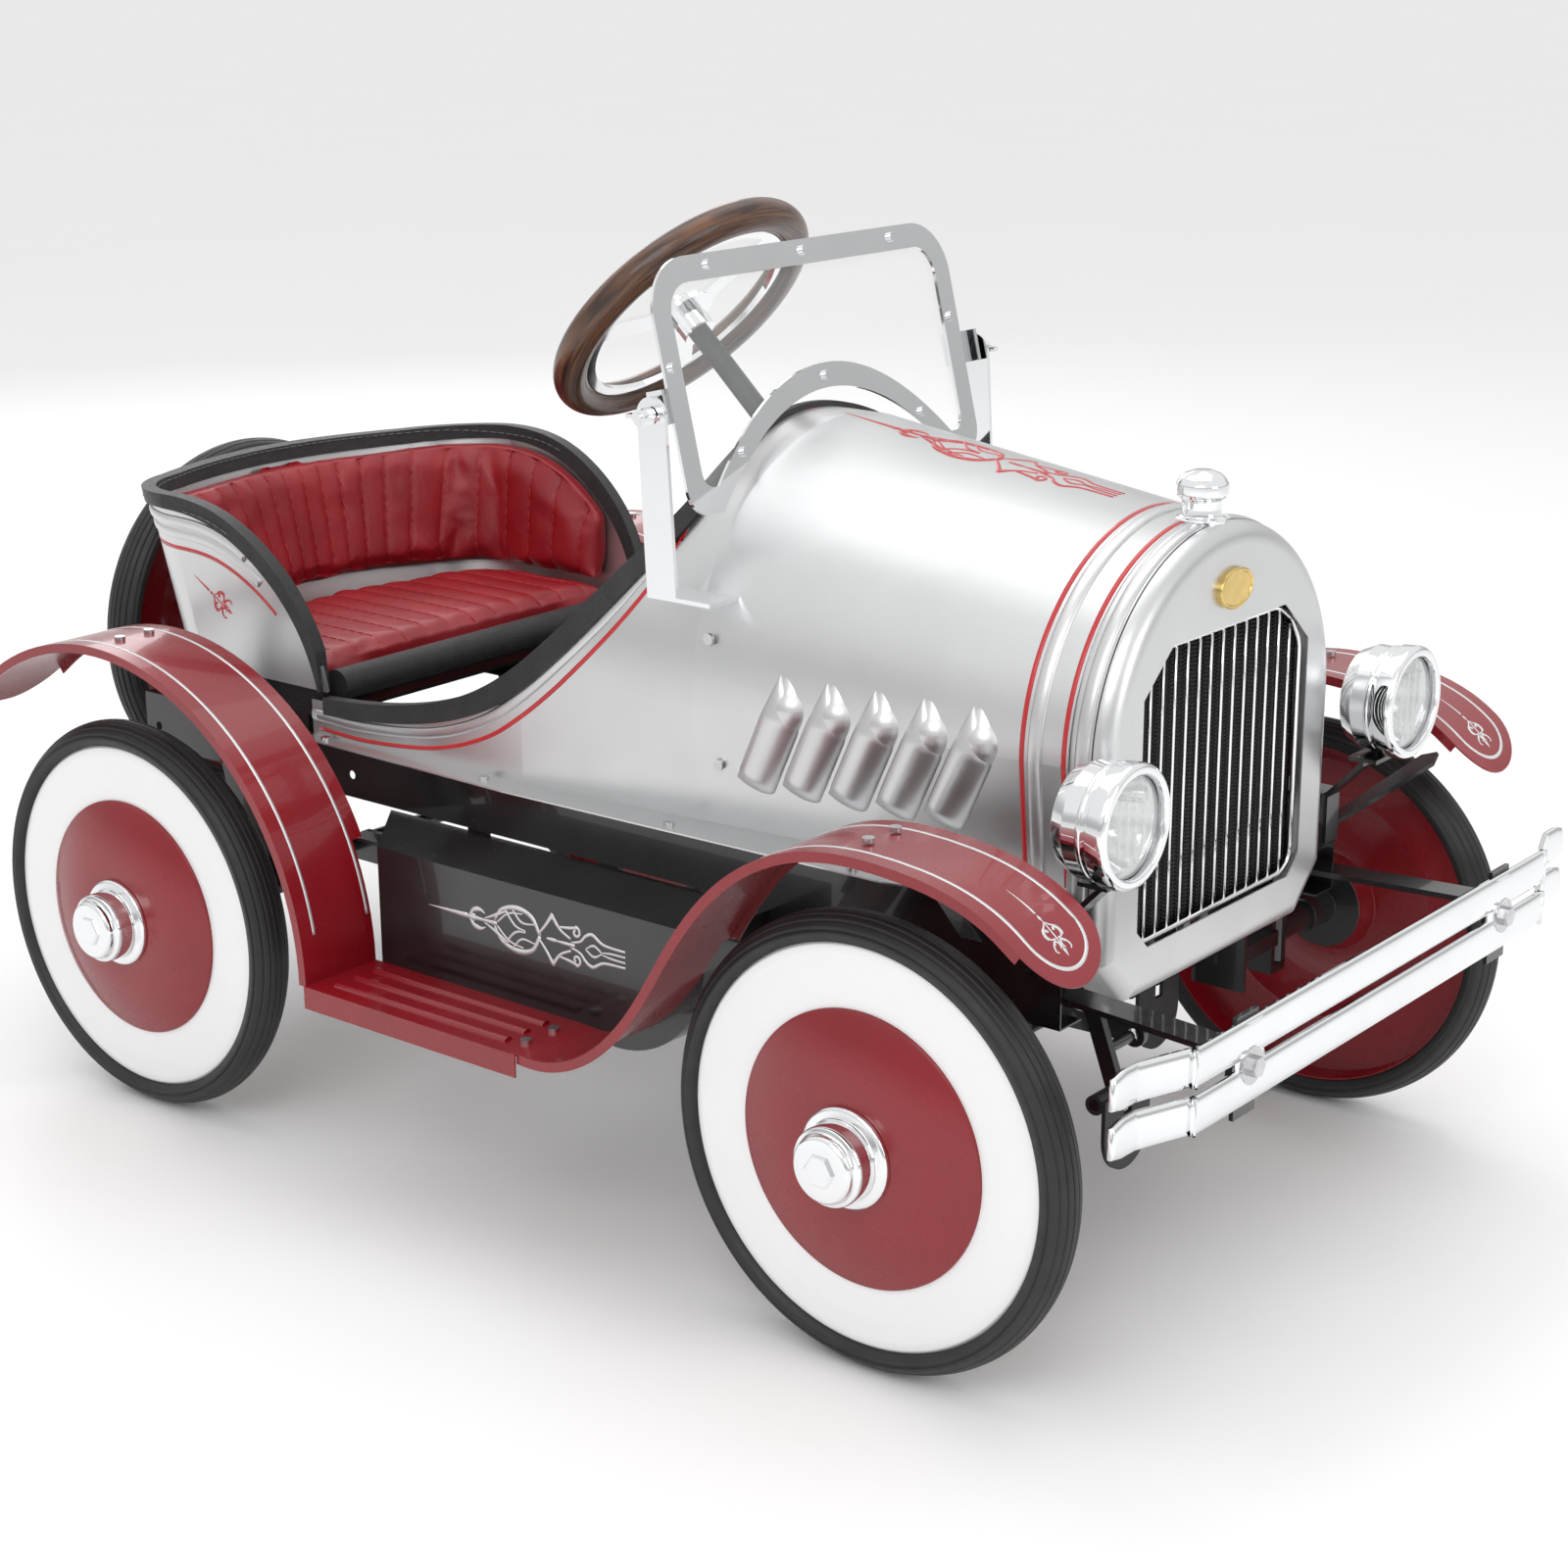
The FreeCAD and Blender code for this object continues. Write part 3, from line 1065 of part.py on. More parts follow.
def pedal_arm(side):
    """Hanging lever with its hub, the rod's stub pin and the pad's cross pin."""
    top = V(PEDAL_PIVOT.x, side * PEDAL_ARM_Y, PEDAL_PIVOT.z)
    low = pad_pin(side)
    joint = rod_joint(side)
    half = ACROSS * 3
    along = low - top
    along.normalize()
    across = V(-along.z, 0, along.x) * 6
    bar = prism_xz([(p.x, p.z) for p in (top - across, low - across, low + across, top + across)],
                   top.y - 3, top.y + 3)
    hub = rod(top - ACROSS * 10, top + ACROSS * 10, 11)
    stub_end = side * (PUSH_ROD_Y + 6)
    stub = rod(V(joint.x, top.y, joint.z), V(joint.x, stub_end, joint.z), PIN_RADIUS)
    eye = rod(low - half, low + half, 6)
    pin = rod(V(low.x, side * PAD_Y[0], low.z), V(low.x, side * PAD_Y[1], low.z), PIN_RADIUS)
    bore = rod(top - ACROSS * 20, top + ACROSS * 20, AXLE_RADIUS + RUNNING_FIT)
    return joined([bar, hub, stub, eye, pin]).cut(bore)


def pedal_pad(side):
    """Round-bottomed steel pad that swings on the arm's cross pin."""
    pin = pad_pin(side)
    y0, y1 = sorted((side * PAD_Y[0], side * PAD_Y[1]))
    middle = (y0 + y1) / 2
    half = (y1 - y0) / 2
    face_x = pin.x + 6
    upper = block(face_x, face_x + 3, y0, y1, pin.z - PAD_DROP + half, pin.z + 4)
    lower = rod(V(face_x, middle, pin.z - PAD_DROP + half),
                V(face_x + 3, middle, pin.z - PAD_DROP + half), half)
    slot = block(face_x - 20, face_x + 9, side * PEDAL_ARM_Y - 5, side * PEDAL_ARM_Y + 5,
                 pin.z - 12, pin.z + 20)
    sleeves = rod(V(pin.x, y0, pin.z), V(pin.x, y1, pin.z), 7)
    bore = rod(V(pin.x, y0 - 5, pin.z), V(pin.x, y1 + 5, pin.z), PIN_RADIUS + RUNNING_FIT)
    return joined([upper, lower, sleeves]).cut(slot).cut(bore)


# ---- spare wheel --------------------------------------------------------------------------
def spare_wheel():
    out = V(-1, 0, 0)
    piece("spare_tyre", tyre(SPARE, out))
    piece("spare_disc", wheel_disc(SPARE, out))
    start = SPARE.x - HUB_FACE
    nut = revolved([(0, 0), (20, 0), (20, 5), (15, 11), (0, 14)], V(start, 0, SPARE.z), out)
    stud = rod(V(start, 0, SPARE.z), V(RAIL_REAR_X - 6, 0, SPARE.z), AXLE_RADIUS)
    collar = rod(SPARE + FORWARD * HUB_BACK, V(RAIL_REAR_X - 6, 0, SPARE.z), 14)
    plate = block(RAIL_REAR_X - 6, RAIL_REAR_X, -40, 40, RAIL_BOTTOM + 8, SPARE.z + 14)
    piece("spare_bracket", joined([stud, collar, plate]), nut)


# ---- assembly -----------------------------------------------------------------------------
def build():
    piece("chassis_frame", *both(chassis_rail()), *crossmembers())
    piece("rear_hangers", *both(rear_hanger()))
    piece("axle_brackets", *both(axle_bracket()))
    piece("fender_braces", *fender_braces())
    piece("column_bearings", *column_bearings())
    shell = body_shell().cut(cap_hole())
    piece("body_shell", shell)
    piece("body_piping", body_piping(shell))
    piece("radiator_shell", radiator_shell().cut(cap_hole()))
    grille()
    piece("emblem", emblem())
    piece("radiator_cap", radiator_cap())
    seat()
    piece("front_fenders", *both(front_fender()))
    piece("rear_fenders", *both(rear_fender()))
    piece("running_boards", *both(running_board()))
    piece("side_boxes", *both(side_box()))
    headlights()
    bumper()
    piece("fasteners", *fasteners())
    windshield()
    piece("windshield_posts", *both(windshield_post()))
    piece("wing_nut_left", wing_nut())
    piece("wing_nut_right", mirrored(wing_nut()))
    steering_wheel()
    piece("steering_column", steering_column())
    pivot = rod(V(PEDAL_PIVOT.x, -RAIL_Y + SHEET, PEDAL_PIVOT.z),
                V(PEDAL_PIVOT.x, RAIL_Y - SHEET, PEDAL_PIVOT.z), AXLE_RADIUS)
    piece("pedal_pivot_rod", pivot)
    for label, side in (("right", -1), ("left", 1)):
        out = V(0, side, 0)
        piece("spindle_" + label, spindle(side))
        road_wheel("front_" + label, V(0, side * WHEEL_Y, AXLE_Z), out)
        road_wheel("rear_" + label, V(-WHEELBASE, side * WHEEL_Y, AXLE_Z), out)
        piece("push_rod_" + label, push_rod(side))
        piece("pedal_arm_" + label, pedal_arm(side))
        piece("pedal_pad_" + label, pedal_pad(side))
    piece("tie_rod", tie_rod())
    piece("crank_axle", crank_axle())
    spare_wheel()


def export():
    os.makedirs("parts", exist_ok=True)
    for name, shape in NODES.items():
        shape.translate(V(FRONT_AXLE_X, 0, 0))
        shape.exportStep("parts/" + name + ".step")


build()
export()
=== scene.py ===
"""Looks of the pedal car: finishes, soft goods, trim lines, lamps, tyres and studio."""

import math

import bmesh
import bpy
import numpy as np
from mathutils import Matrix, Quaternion, Vector
from mathutils.bvhtree import BVHTree


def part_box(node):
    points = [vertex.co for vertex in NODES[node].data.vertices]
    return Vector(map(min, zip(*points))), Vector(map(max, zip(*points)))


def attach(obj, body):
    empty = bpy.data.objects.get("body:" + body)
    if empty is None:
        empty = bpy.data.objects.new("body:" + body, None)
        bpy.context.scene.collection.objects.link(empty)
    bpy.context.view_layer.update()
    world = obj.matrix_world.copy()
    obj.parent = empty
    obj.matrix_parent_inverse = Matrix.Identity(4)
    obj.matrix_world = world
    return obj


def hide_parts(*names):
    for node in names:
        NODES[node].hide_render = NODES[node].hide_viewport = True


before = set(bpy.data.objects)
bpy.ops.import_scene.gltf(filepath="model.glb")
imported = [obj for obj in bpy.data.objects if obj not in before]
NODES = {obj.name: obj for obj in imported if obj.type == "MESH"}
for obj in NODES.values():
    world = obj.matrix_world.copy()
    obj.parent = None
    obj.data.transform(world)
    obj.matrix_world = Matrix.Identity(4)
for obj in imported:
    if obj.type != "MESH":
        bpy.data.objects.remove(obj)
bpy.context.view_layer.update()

AXLE_X = 0.364                  # front axle in the frame; the car's own numbers start from it
SEED = 7
SIDES = ((-1, "right"), (1, "left"))
FORWARD = Vector((1, 0, 0))


def middle_of(node):
    low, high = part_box(node)
    return (low + high) / 2


# ---- camera and light -----------------------------------------------------------------------
CAMERA_TURN = (38.86, 16.93, -0.27)         # azimuth, elevation and roll in degrees
CAMERA_PLACE = (1.3833, -1.6392, 0.9093)
LENS_MM = 66.48
SENSOR_MM = 36.0
SKY_STOPS = ((0.0, 0.9), (0.08, 0.52), (0.2, 0.6), (0.34, 0.98), (0.75, 1.0))     # (height, grey)
SKY_STRENGTH = 0.92
FLOOR_HALF = 40
LIT_POINT = Vector((0, 0, 0.3))
LIGHTS = {                                  # place, size and power
    "key": ((1.2, -2.6, 2.6), (2.2, 1.6), 26),
    "top": ((-0.3, 0.3, 3.0), (3.0, 2.4), 20),
    "front": ((3.2, -0.2, 1.3), (1.4, 1.6), 13),
    "rear": ((-2.6, 1.9, 1.8), (1.6, 1.6), 15)}


def aim(azimuth, elevation, roll):
    a, e = math.radians(azimuth), math.radians(elevation)
    back = Vector((math.sin(a) * math.cos(e), -math.cos(a) * math.cos(e), math.sin(e)))
    return back.to_track_quat("Z", "Y") @ Quaternion((0, 0, 1), math.radians(roll))


def make_camera():
    data = bpy.data.cameras.new("camera")
    data.sensor_width, data.lens = SENSOR_MM, LENS_MM
    camera = bpy.data.objects.new("camera", data)
    camera.rotation_mode = "QUATERNION"
    camera.rotation_quaternion = aim(*CAMERA_TURN)
    camera.location = CAMERA_PLACE
    bpy.context.collection.objects.link(camera)
    bpy.context.scene.camera = camera


def area_light(name, place, size, power):
    data = bpy.data.lights.new(name, "AREA")
    data.shape, data.size, data.size_y, data.energy = "RECTANGLE", *size, power
    lamp = bpy.data.objects.new(name, data)
    lamp.location = place
    lamp.rotation_euler = (Vector(place) - LIT_POINT).to_track_quat("Z", "Y").to_euler()
    bpy.context.collection.objects.link(lamp)


def make_studio():
    world = bpy.data.worlds.new("studio")
    world.use_nodes = True
    bpy.context.scene.world = world
    tree = world.node_tree
    coords = tree.nodes.new("ShaderNodeTexCoord")
    split = tree.nodes.new("ShaderNodeSeparateXYZ")
    ramp = tree.nodes.new("ShaderNodeValToRGB")
    tree.links.new(coords.outputs["Generated"], split.inputs[0])
    tree.links.new(split.outputs["Z"], ramp.inputs[0])
    tree.links.new(ramp.outputs[0], tree.nodes["Background"].inputs[0])
    stops = ramp.color_ramp.elements
    stops[0].position, stops[1].position = SKY_STOPS[0][0], SKY_STOPS[-1][0]
    for height, _ in SKY_STOPS[1:-1]:
        stops.new(height)
    for stop, (_, grey) in zip(stops, SKY_STOPS):
        stop.color = (grey, grey, grey, 1)
    tree.nodes["Background"].inputs[1].default_value = SKY_STRENGTH
    bpy.context.scene.view_settings.view_transform = "Standard"
    corners = [(x * FLOOR_HALF, y * FLOOR_HALF, 0) for x, y in ((-1, -1), (1, -1), (1, 1), (-1, 1))]
    new_mesh("studio_floor", corners, [(0, 1, 2, 3)], [FLOOR])
    for name, (place, size, power) in LIGHTS.items():
        area_light(name, place, size, power)


# ---- meshes -----------------------------------------------------------------------------------
def new_mesh(name, verts, faces, mats, indices=None, smooth=True):
    mesh = bpy.data.meshes.new(name)
    mesh.from_pydata([tuple(v) for v in verts], [], faces)
    for mat in mats:
        mesh.materials.append(mat)
    if indices is not None:
        mesh.polygons.foreach_set("material_index", indices)
    mesh.polygons.foreach_set("use_smooth", [smooth] * len(mesh.polygons))
    mesh.validate()
    obj = bpy.data.objects.new(name, mesh)
    bpy.context.collection.objects.link(obj)
    return obj


def faces_out(obj, merge=None):
    """Turns a closed mesh's faces to point out, once points closer than merge are joined."""
    work = bmesh.new()
    work.from_mesh(obj.data)
    if merge:
        bmesh.ops.remove_doubles(work, verts=work.verts, dist=merge)
    bmesh.ops.recalc_face_normals(work, faces=work.faces)
    work.to_mesh(obj.data)
    work.free()
    return obj


def side_of(axis):
    seed = Vector((1, 0, 0)) if abs(axis.x) < 0.9 else Vector((0, 0, 1))
    return (seed - axis * seed.dot(axis)).normalized()


def corner(p, q, s, cut, shares):
    """Points of the short curve that replaces the corner q between p and s."""
    back, on = p - q, s - q
    near = min(cut, back.length * 0.45, on.length * 0.45)
    start, end = q + back.normalized() * near, q + on.normalized() * near
    return [start * (1 - t) ** 2 + q * 2 * t * (1 - t) + end * t ** 2 for t in shares]


def smooth_corners(outline, cut):
    """Closed outline (u, v) with each corner rounded."""
    out = []
    for i in range(len(outline)):
        around = (Vector(outline[(i + k) % len(outline)]) for k in (-1, 0, 1))
        out += [(r.x, r.y) for r in corner(*around, cut, (0, 0.25, 0.5, 0.75, 1.0))]
    return out


def eased(points, cut):
    """Profile points (r, a, material) with each inner corner replaced by a short curve."""
    shares = (0.0, 0.33, 0.67, 1.0)
    out = [points[0]]
    for before, at, after in zip(points, points[1:], points[2:]):
        around = (Vector(v[:2]) for v in (before, at, after))
        for t, r in zip(shares, corner(*around, cut, shares)):
            out.append((r.x, r.y, at[2] if t > 0.5 else before[2]))
    out.append(points[-1])
    return out


def lathe(name, profile, centre, axis, mats, steps=120, cut=0.0008, closed=False):
    """Turned piece. Profile rows are (radius, distance along the axis, material of the next span)."""
    rows = eased(profile, cut) if cut else list(profile)
    side = side_of(axis)
    turn = axis.cross(side)
    verts, faces, indices = [], [], []
    for r, a, _ in rows:
        for k in range(steps):
            angle = 2 * math.pi * k / steps
            verts.append(centre + axis * a + (side * math.cos(angle) + turn * math.sin(angle)) * r)
    spans = len(rows) if closed else len(rows) - 1
    for i in range(spans):
        j = (i + 1) % len(rows)
        for k in range(steps):
            n = (k + 1) % steps
            faces.append((i * steps + k, i * steps + n, j * steps + n, j * steps + k))
            indices.append(rows[i][2])
    for i in (0, len(rows) - 1):
        if not closed and rows[i][0] > 1e-5:
            faces.append(tuple(i * steps + k for k in range(steps)))
            indices.append(rows[i][2])
    return faces_out(new_mesh(name, verts, faces, mats, indices), merge=1e-6)


def join(name, objs):
    """One object made of several, which are then gone."""
    base = objs[0]
    for other in objs[1:]:
        slots = []
        for mat in other.data.materials:
            if mat.name not in base.data.materials:
                base.data.materials.append(mat)
            slots.append(base.data.materials.find(mat.name))
        other["slots"] = slots
    work = bmesh.new()
    work.from_mesh(base.data)
    for other in objs[1:]:
        start = len(work.faces)
        work.from_mesh(other.data)
        work.faces.ensure_lookup_table()
        for face in work.faces[start:]:
            face.material_index = other["slots"][face.material_index]
    work.to_mesh(base.data)
    work.free()
    for other in objs[1:]:
        bpy.data.objects.remove(other)
    base.name = name
    return base


def smooth_path(points, steps=8, closed=False):
    """Catmull-Rom curve through the points."""
    pts = [Vector(p) for p in points]
    count = len(pts)
    out = []
    for i in range(count if closed else count - 1):
        if closed:
            a, b, c, d = (pts[(i + k) % count] for k in (-1, 0, 1, 2))
        else:
            b, c = pts[i], pts[i + 1]
            a = pts[i - 1] if i else b * 2 - c
            d = pts[i + 2] if i + 2 < count else c * 2 - b
        for k in range(steps):
            t = k / steps
            out.append(0.5 * (2 * b + (c - a) * t + (2 * a - 5 * b + 4 * c - d) * t ** 2
                              + (3 * b - a - 3 * c + d) * t ** 3))
    if not closed:
        out.append(pts[-1])
    return out


def tube_faces(base, rings, sides, closed=False):
    """Faces between rings of points, with a cap at each open end; base is the first point."""
    faces = []
    for i in range(rings if closed else rings - 1):
        here, ahead = base + i * sides, base + (i + 1) % rings * sides
        for k in range(sides):
            n = (k + 1) % sides
            faces.append((here + k, here + n, ahead + n, ahead + k))
    if not closed:
        last = base + (rings - 1) * sides
        faces += [tuple(range(base, base + sides)), tuple(range(last, last + sides))]
    return faces


def band(name, spots, widths, mat, section, closed=False):
    """Trim that follows surface spots (point, normal); section rows are (across, lift) per width."""
    verts = []
    count = len(spots)
    for i, (point, normal) in enumerate(spots):
        ahead = spots[(i + 1) % count][0] if closed or i + 1 < count else point
        behind = spots[i - 1][0] if closed or i else point
        side = normal.cross(ahead - behind).normalized()
        for across, lift in section:
            verts.append(point + side * across * widths[i] + normal * lift)
    return faces_out(new_mesh(name, verts, tube_faces(0, count, len(section), closed), [mat]))


FLAT = [(-0.5, -0.0003), (-0.5, 0.0002), (0, 0.00026), (0.5, 0.0002), (0.5, -0.0003)]


def rounded_section(height, sink=0.0006):
    rows = [(0.5 * math.cos(a), height * math.sin(a)) for a in np.linspace(0, math.pi, 9)]
    return [(-0.5, -sink)] + [(-x, z) for x, z in rows] + [(0.5, -sink)]


# ---- spots on CAD surfaces ----------------------------------------------------------------------
def tree_of(obj):
    obj.data.calc_loop_triangles()
    return BVHTree.FromPolygons([v.co for v in obj.data.vertices],
                                [tuple(t.vertices) for t in obj.data.loop_triangles])


def surface(node):
    return tree_of(NODES[node])


def spot(tree, origin, direction):
    point, normal, _, _ = tree.ray_cast(Vector(origin), Vector(direction).normalized())
    if point is None:
        return None
    return point, (normal if normal.dot(Vector(direction)) < 0 else -normal)


def with_smooth_normals(found):
    """The same spots, each with the mean normal of the five round it."""
    out = []
    for i, (point, _) in enumerate(found):
        near = found[max(0, i - 2):i + 3]
        out.append((point, sum((n for _, n in near), Vector()).normalized()))
    return out


def spots_on(tree, rays):
    found = [spot(tree, origin, direction) for origin, direction in rays]
    return with_smooth_normals([s for s in found if s is not None])


# ---- finishes ---------------------------------------------------------------------------------
def noise(tree, vector, scale, detail):
    node = tree.nodes.new("ShaderNodeTexNoise")
    node.inputs["Scale"].default_value = scale
    node.inputs["Detail"].default_value = detail
    tree.links.new(vector, node.inputs["Vector"])
    return node.outputs[0]


def math_node(tree, operation, first, second=None):
    """Output of a math node; second is another output or a number."""
    node = tree.nodes.new("ShaderNodeMath")
    node.operation = operation
    tree.links.new(first, node.inputs[0])
    if isinstance(second, float):
        node.inputs[1].default_value = second
    elif second is not None:
        tree.links.new(second, node.inputs[1])
    return node.outputs[0]


def two_tone(tree, source, dark, light, start=0.0, end=1.0):
    """Base colour that goes from dark to light as the source goes from start to end."""
    ramp = tree.nodes.new("ShaderNodeValToRGB")
    for stop, place, colour in zip(ramp.color_ramp.elements, (start, end), (dark, light)):
        stop.position, stop.color = place, (*colour, 1)
    tree.links.new(source, ramp.inputs[0])
    tree.links.new(ramp.outputs[0], tree.nodes["Principled BSDF"].inputs["Base Color"])


def relief(tree, height, strength, distance=0.001):
    node = tree.nodes.new("ShaderNodeBump")
    node.inputs["Strength"].default_value = strength
    node.inputs["Distance"].default_value = distance
    tree.links.new(height, node.inputs["Height"])
    tree.links.new(node.outputs[0], tree.nodes["Principled BSDF"].inputs["Normal"])


def finish(name, base, rough, metallic=0.0, coat=0.0, vary=0.12, scale=18.0, bump=0.0,
           bump_scale=400.0, rough_vary=0.08):
    """Principled finish with colour, gloss and surface relief that come from object space."""
    mat = bpy.data.materials.new(name)
    mat.use_nodes = True
    tree = mat.node_tree
    shader = tree.nodes["Principled BSDF"]
    shader.inputs["Metallic"].default_value = metallic
    shader.inputs["Coat Weight"].default_value = coat
    shader.inputs["Coat Roughness"].default_value = 0.04
    coords = tree.nodes.new("ShaderNodeTexCoord")
    mapping = tree.nodes.new("ShaderNodeMapping")
    tree.links.new(coords.outputs["Object"], mapping.inputs[0])
    place = mapping.outputs[0]
    dark, light = ([min(1, c * share) for c in base] for share in (1 - vary, 1 + vary))
    two_tone(tree, noise(tree, place, scale, 4), dark, light, 0.3, 0.7)
    spread = tree.nodes.new("ShaderNodeMapRange")
    spread.inputs["To Min"].default_value = max(0.0, rough - rough_vary)
    spread.inputs["To Max"].default_value = rough + rough_vary
    tree.links.new(noise(tree, place, scale * 3.3, 3), spread.inputs[0])
    tree.links.new(spread.outputs[0], shader.inputs["Roughness"])
    if bump:
        relief(tree, noise(tree, place, bump_scale, 2), bump)
    return mat


def grained(mat, scale, strength):
    """Leather grain in the finish: small cells pressed into the surface."""
    tree = mat.node_tree
    cells = tree.nodes.new("ShaderNodeTexVoronoi")
    cells.feature = "DISTANCE_TO_EDGE"
    cells.inputs["Scale"].default_value = scale
    tree.links.new(tree.nodes["Mapping"].outputs[0], cells.inputs["Vector"])
    limit = tree.nodes.new("ShaderNodeMapRange")
    limit.inputs["From Max"].default_value = 0.25
    tree.links.new(cells.outputs["Distance"], limit.inputs[0])
    relief(tree, limit.outputs[0], strength)
    return mat


def see_through(mat, alpha):
    shader = mat.node_tree.nodes["Principled BSDF"]
    shader.inputs["Alpha"].default_value = alpha
    shader.inputs["IOR"].default_value = 1.49
    return mat


def wood_finish():
    """Dark stained wood with fine grain that runs round the wheel rim."""
    mat = finish("dark_wood", (0.075, 0.03, 0.014), 0.36, coat=0.35, vary=0.3, scale=30)
    tree = mat.node_tree
    mapping = tree.nodes["Mapping"]
    mapping.inputs["Location"].default_value = tuple(-middle_of("steering_rim"))
    length = tree.nodes.new("ShaderNodeVectorMath")
    length.operation = "LENGTH"
    tree.links.new(mapping.outputs[0], length.inputs[0])
    parts = tree.nodes.new("ShaderNodeSeparateXYZ")
    tree.links.new(mapping.outputs[0], parts.inputs[0])
    grain = tree.nodes.new("ShaderNodeCombineXYZ")
    sources = (length.outputs["Value"], parts.outputs["X"], parts.outputs["Y"])
    for source, fineness, socket in zip(sources, (900.0, 26.0, 26.0), grain.inputs):
        tree.links.new(math_node(tree, "MULTIPLY", source, fineness), socket)
    rings = noise(tree, grain.outputs[0], 1.0, 6)
    two_tone(tree, rings, (0.028, 0.011, 0.006), (0.15, 0.062, 0.028), 0.38, 0.62)
    relief(tree, rings, 0.25, 0.0006)
    return mat


def mesh_finish():
    """Black woven wire behind the grille bars."""
    mat = finish("grille_mesh", (0.02, 0.02, 0.02), 0.45, metallic=0.4, vary=0.3, scale=60)
    tree = mat.node_tree
    parts = tree.nodes.new("ShaderNodeSeparateXYZ")
    tree.links.new(tree.nodes["Mapping"].outputs[0], parts.inputs[0])
    waves = []
    for axis, pitch in (("Y", 0.0042), ("Z", 0.0028)):
        turns = math_node(tree, "MULTIPLY", parts.outputs[axis], 2 * math.pi / pitch)
        waves.append(math_node(tree, "SINE", turns))
    weave = math_node(tree, "MULTIPLY", *waves)
    two_tone(tree, weave, (0.004, 0.004, 0.004), (0.05, 0.05, 0.05))
    relief(tree, weave, 0.9, 0.0008)
    return mat


SILVER = finish("silver_paint", (0.66, 0.665, 0.67), 0.34, metallic=0.92, vary=0.035, scale=9,
                rough_vary=0.05, bump=0.05, bump_scale=1400)
RED = finish("red_paint", (0.235, 0.004, 0.010), 0.28, coat=0.35, vary=0.08, scale=14,
             rough_vary=0.05, bump=0.03, bump_scale=260)
RED_LINE = finish("red_pinstripe", (0.52, 0.014, 0.018), 0.3, coat=0.4, vary=0.08)
SILVER_LINE = finish("silver_pinstripe", (0.72, 0.72, 0.73), 0.35, metallic=0.5, vary=0.05)
BLACK = finish("black_paint", (0.012, 0.012, 0.013), 0.24, coat=0.5, vary=0.3, scale=16,
               rough_vary=0.08, bump=0.04, bump_scale=240)
WHITE = finish("white_paint", (0.86, 0.86, 0.86), 0.2, coat=0.5, vary=0.015, scale=8,
               rough_vary=0.04)
CHROME = finish("chrome", (0.86, 0.87, 0.88), 0.05, metallic=1.0, vary=0.02, rough_vary=0.03)
ZINC = finish("zinc_steel", (0.6, 0.6, 0.61), 0.24, metallic=1.0, vary=0.12, scale=120)
STEEL = finish("dark_steel", (0.02, 0.02, 0.022), 0.35, metallic=0.3, vary=0.3, scale=40)
RUBBER = finish("black_rubber", (0.016, 0.016, 0.017), 0.5, vary=0.25, scale=40, bump=0.12,
                bump_scale=900, rough_vary=0.1)
RED_VINYL = grained(finish("red_vinyl", (0.30, 0.006, 0.013), 0.34, vary=0.14, scale=22,
                           rough_vary=0.1, coat=0.1), 900, 0.22)
BLACK_VINYL = grained(finish("black_vinyl", (0.018, 0.018, 0.019), 0.42, vary=0.3, scale=60,
                             rough_vary=0.1), 700, 0.5)
THREAD = finish("thread", (0.16, 0.16, 0.165), 0.7, vary=0.2, scale=300)
RED_THREAD = finish("red_thread", (0.42, 0.03, 0.035), 0.6, vary=0.2, scale=300)
BRASS = finish("brass", (0.72, 0.53, 0.2), 0.16, metallic=1.0, vary=0.1, scale=90)
PANE = see_through(finish("clear_pane", (0.93, 0.95, 0.95), 0.02, vary=0.01, rough_vary=0.01), 0.1)
LENS = see_through(finish("lamp_glass", (0.9, 0.91, 0.91), 0.06, vary=0.02, rough_vary=0.03), 0.3)
WOOD = wood_finish()
MESH = mesh_finish()
FLOOR = finish("floor", (0.93, 0.93, 0.93), 0.6, vary=0.004, scale=2)


def repaint(mat, *names):
    for name in names:
        NODES[name].data.materials.clear()
        NODES[name].data.materials.append(mat)


def riding(obj, body):
    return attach(obj, body)


# ---- wheels -----------------------------------------------------------------------------------
TYRE_RADIUS = 155.0             # the rows of the wheels are in millimetres
TREAD_HALF = 16.6
TREAD_RIBS = 7
TREAD_STEPS = 84
BEAD = [(137.0, 15.0, 0), (141.5, 16.6, 0), (145.0, 17.0, 0)]
WHEEL_BODIES = {"front_left": "wheel_front_left", "front_right": "wheel_front_right",
                "rear_left": "wheel_rear_left", "rear_right": "rear_axle"}


def millimetres(rows):
    return [(r / 1000, a / 1000, m) for r, a, m in rows]


def tyre_rows():
    """Section of a tyre with ribs parted by grooves round its crowned tread."""
    rows = list(BEAD)
    for k in range(TREAD_STEPS + 1):
        a = TREAD_HALF - 2 * TREAD_HALF * k / TREAD_STEPS
        crown = TYRE_RADIUS - 9.0 * (a / 17.0) ** 2
        phase = (a + TREAD_HALF) / (2 * TREAD_HALF) * TREAD_RIBS % 1.0
        groove = max(0.0, 1 - min(phase, 1 - phase) / 0.17)
        rows.append((crown - 2.0 * groove ** 1.4 - 0.1, a, 0))
    return millimetres(rows + [(r, -a, m) for r, a, m in reversed(BEAD)])


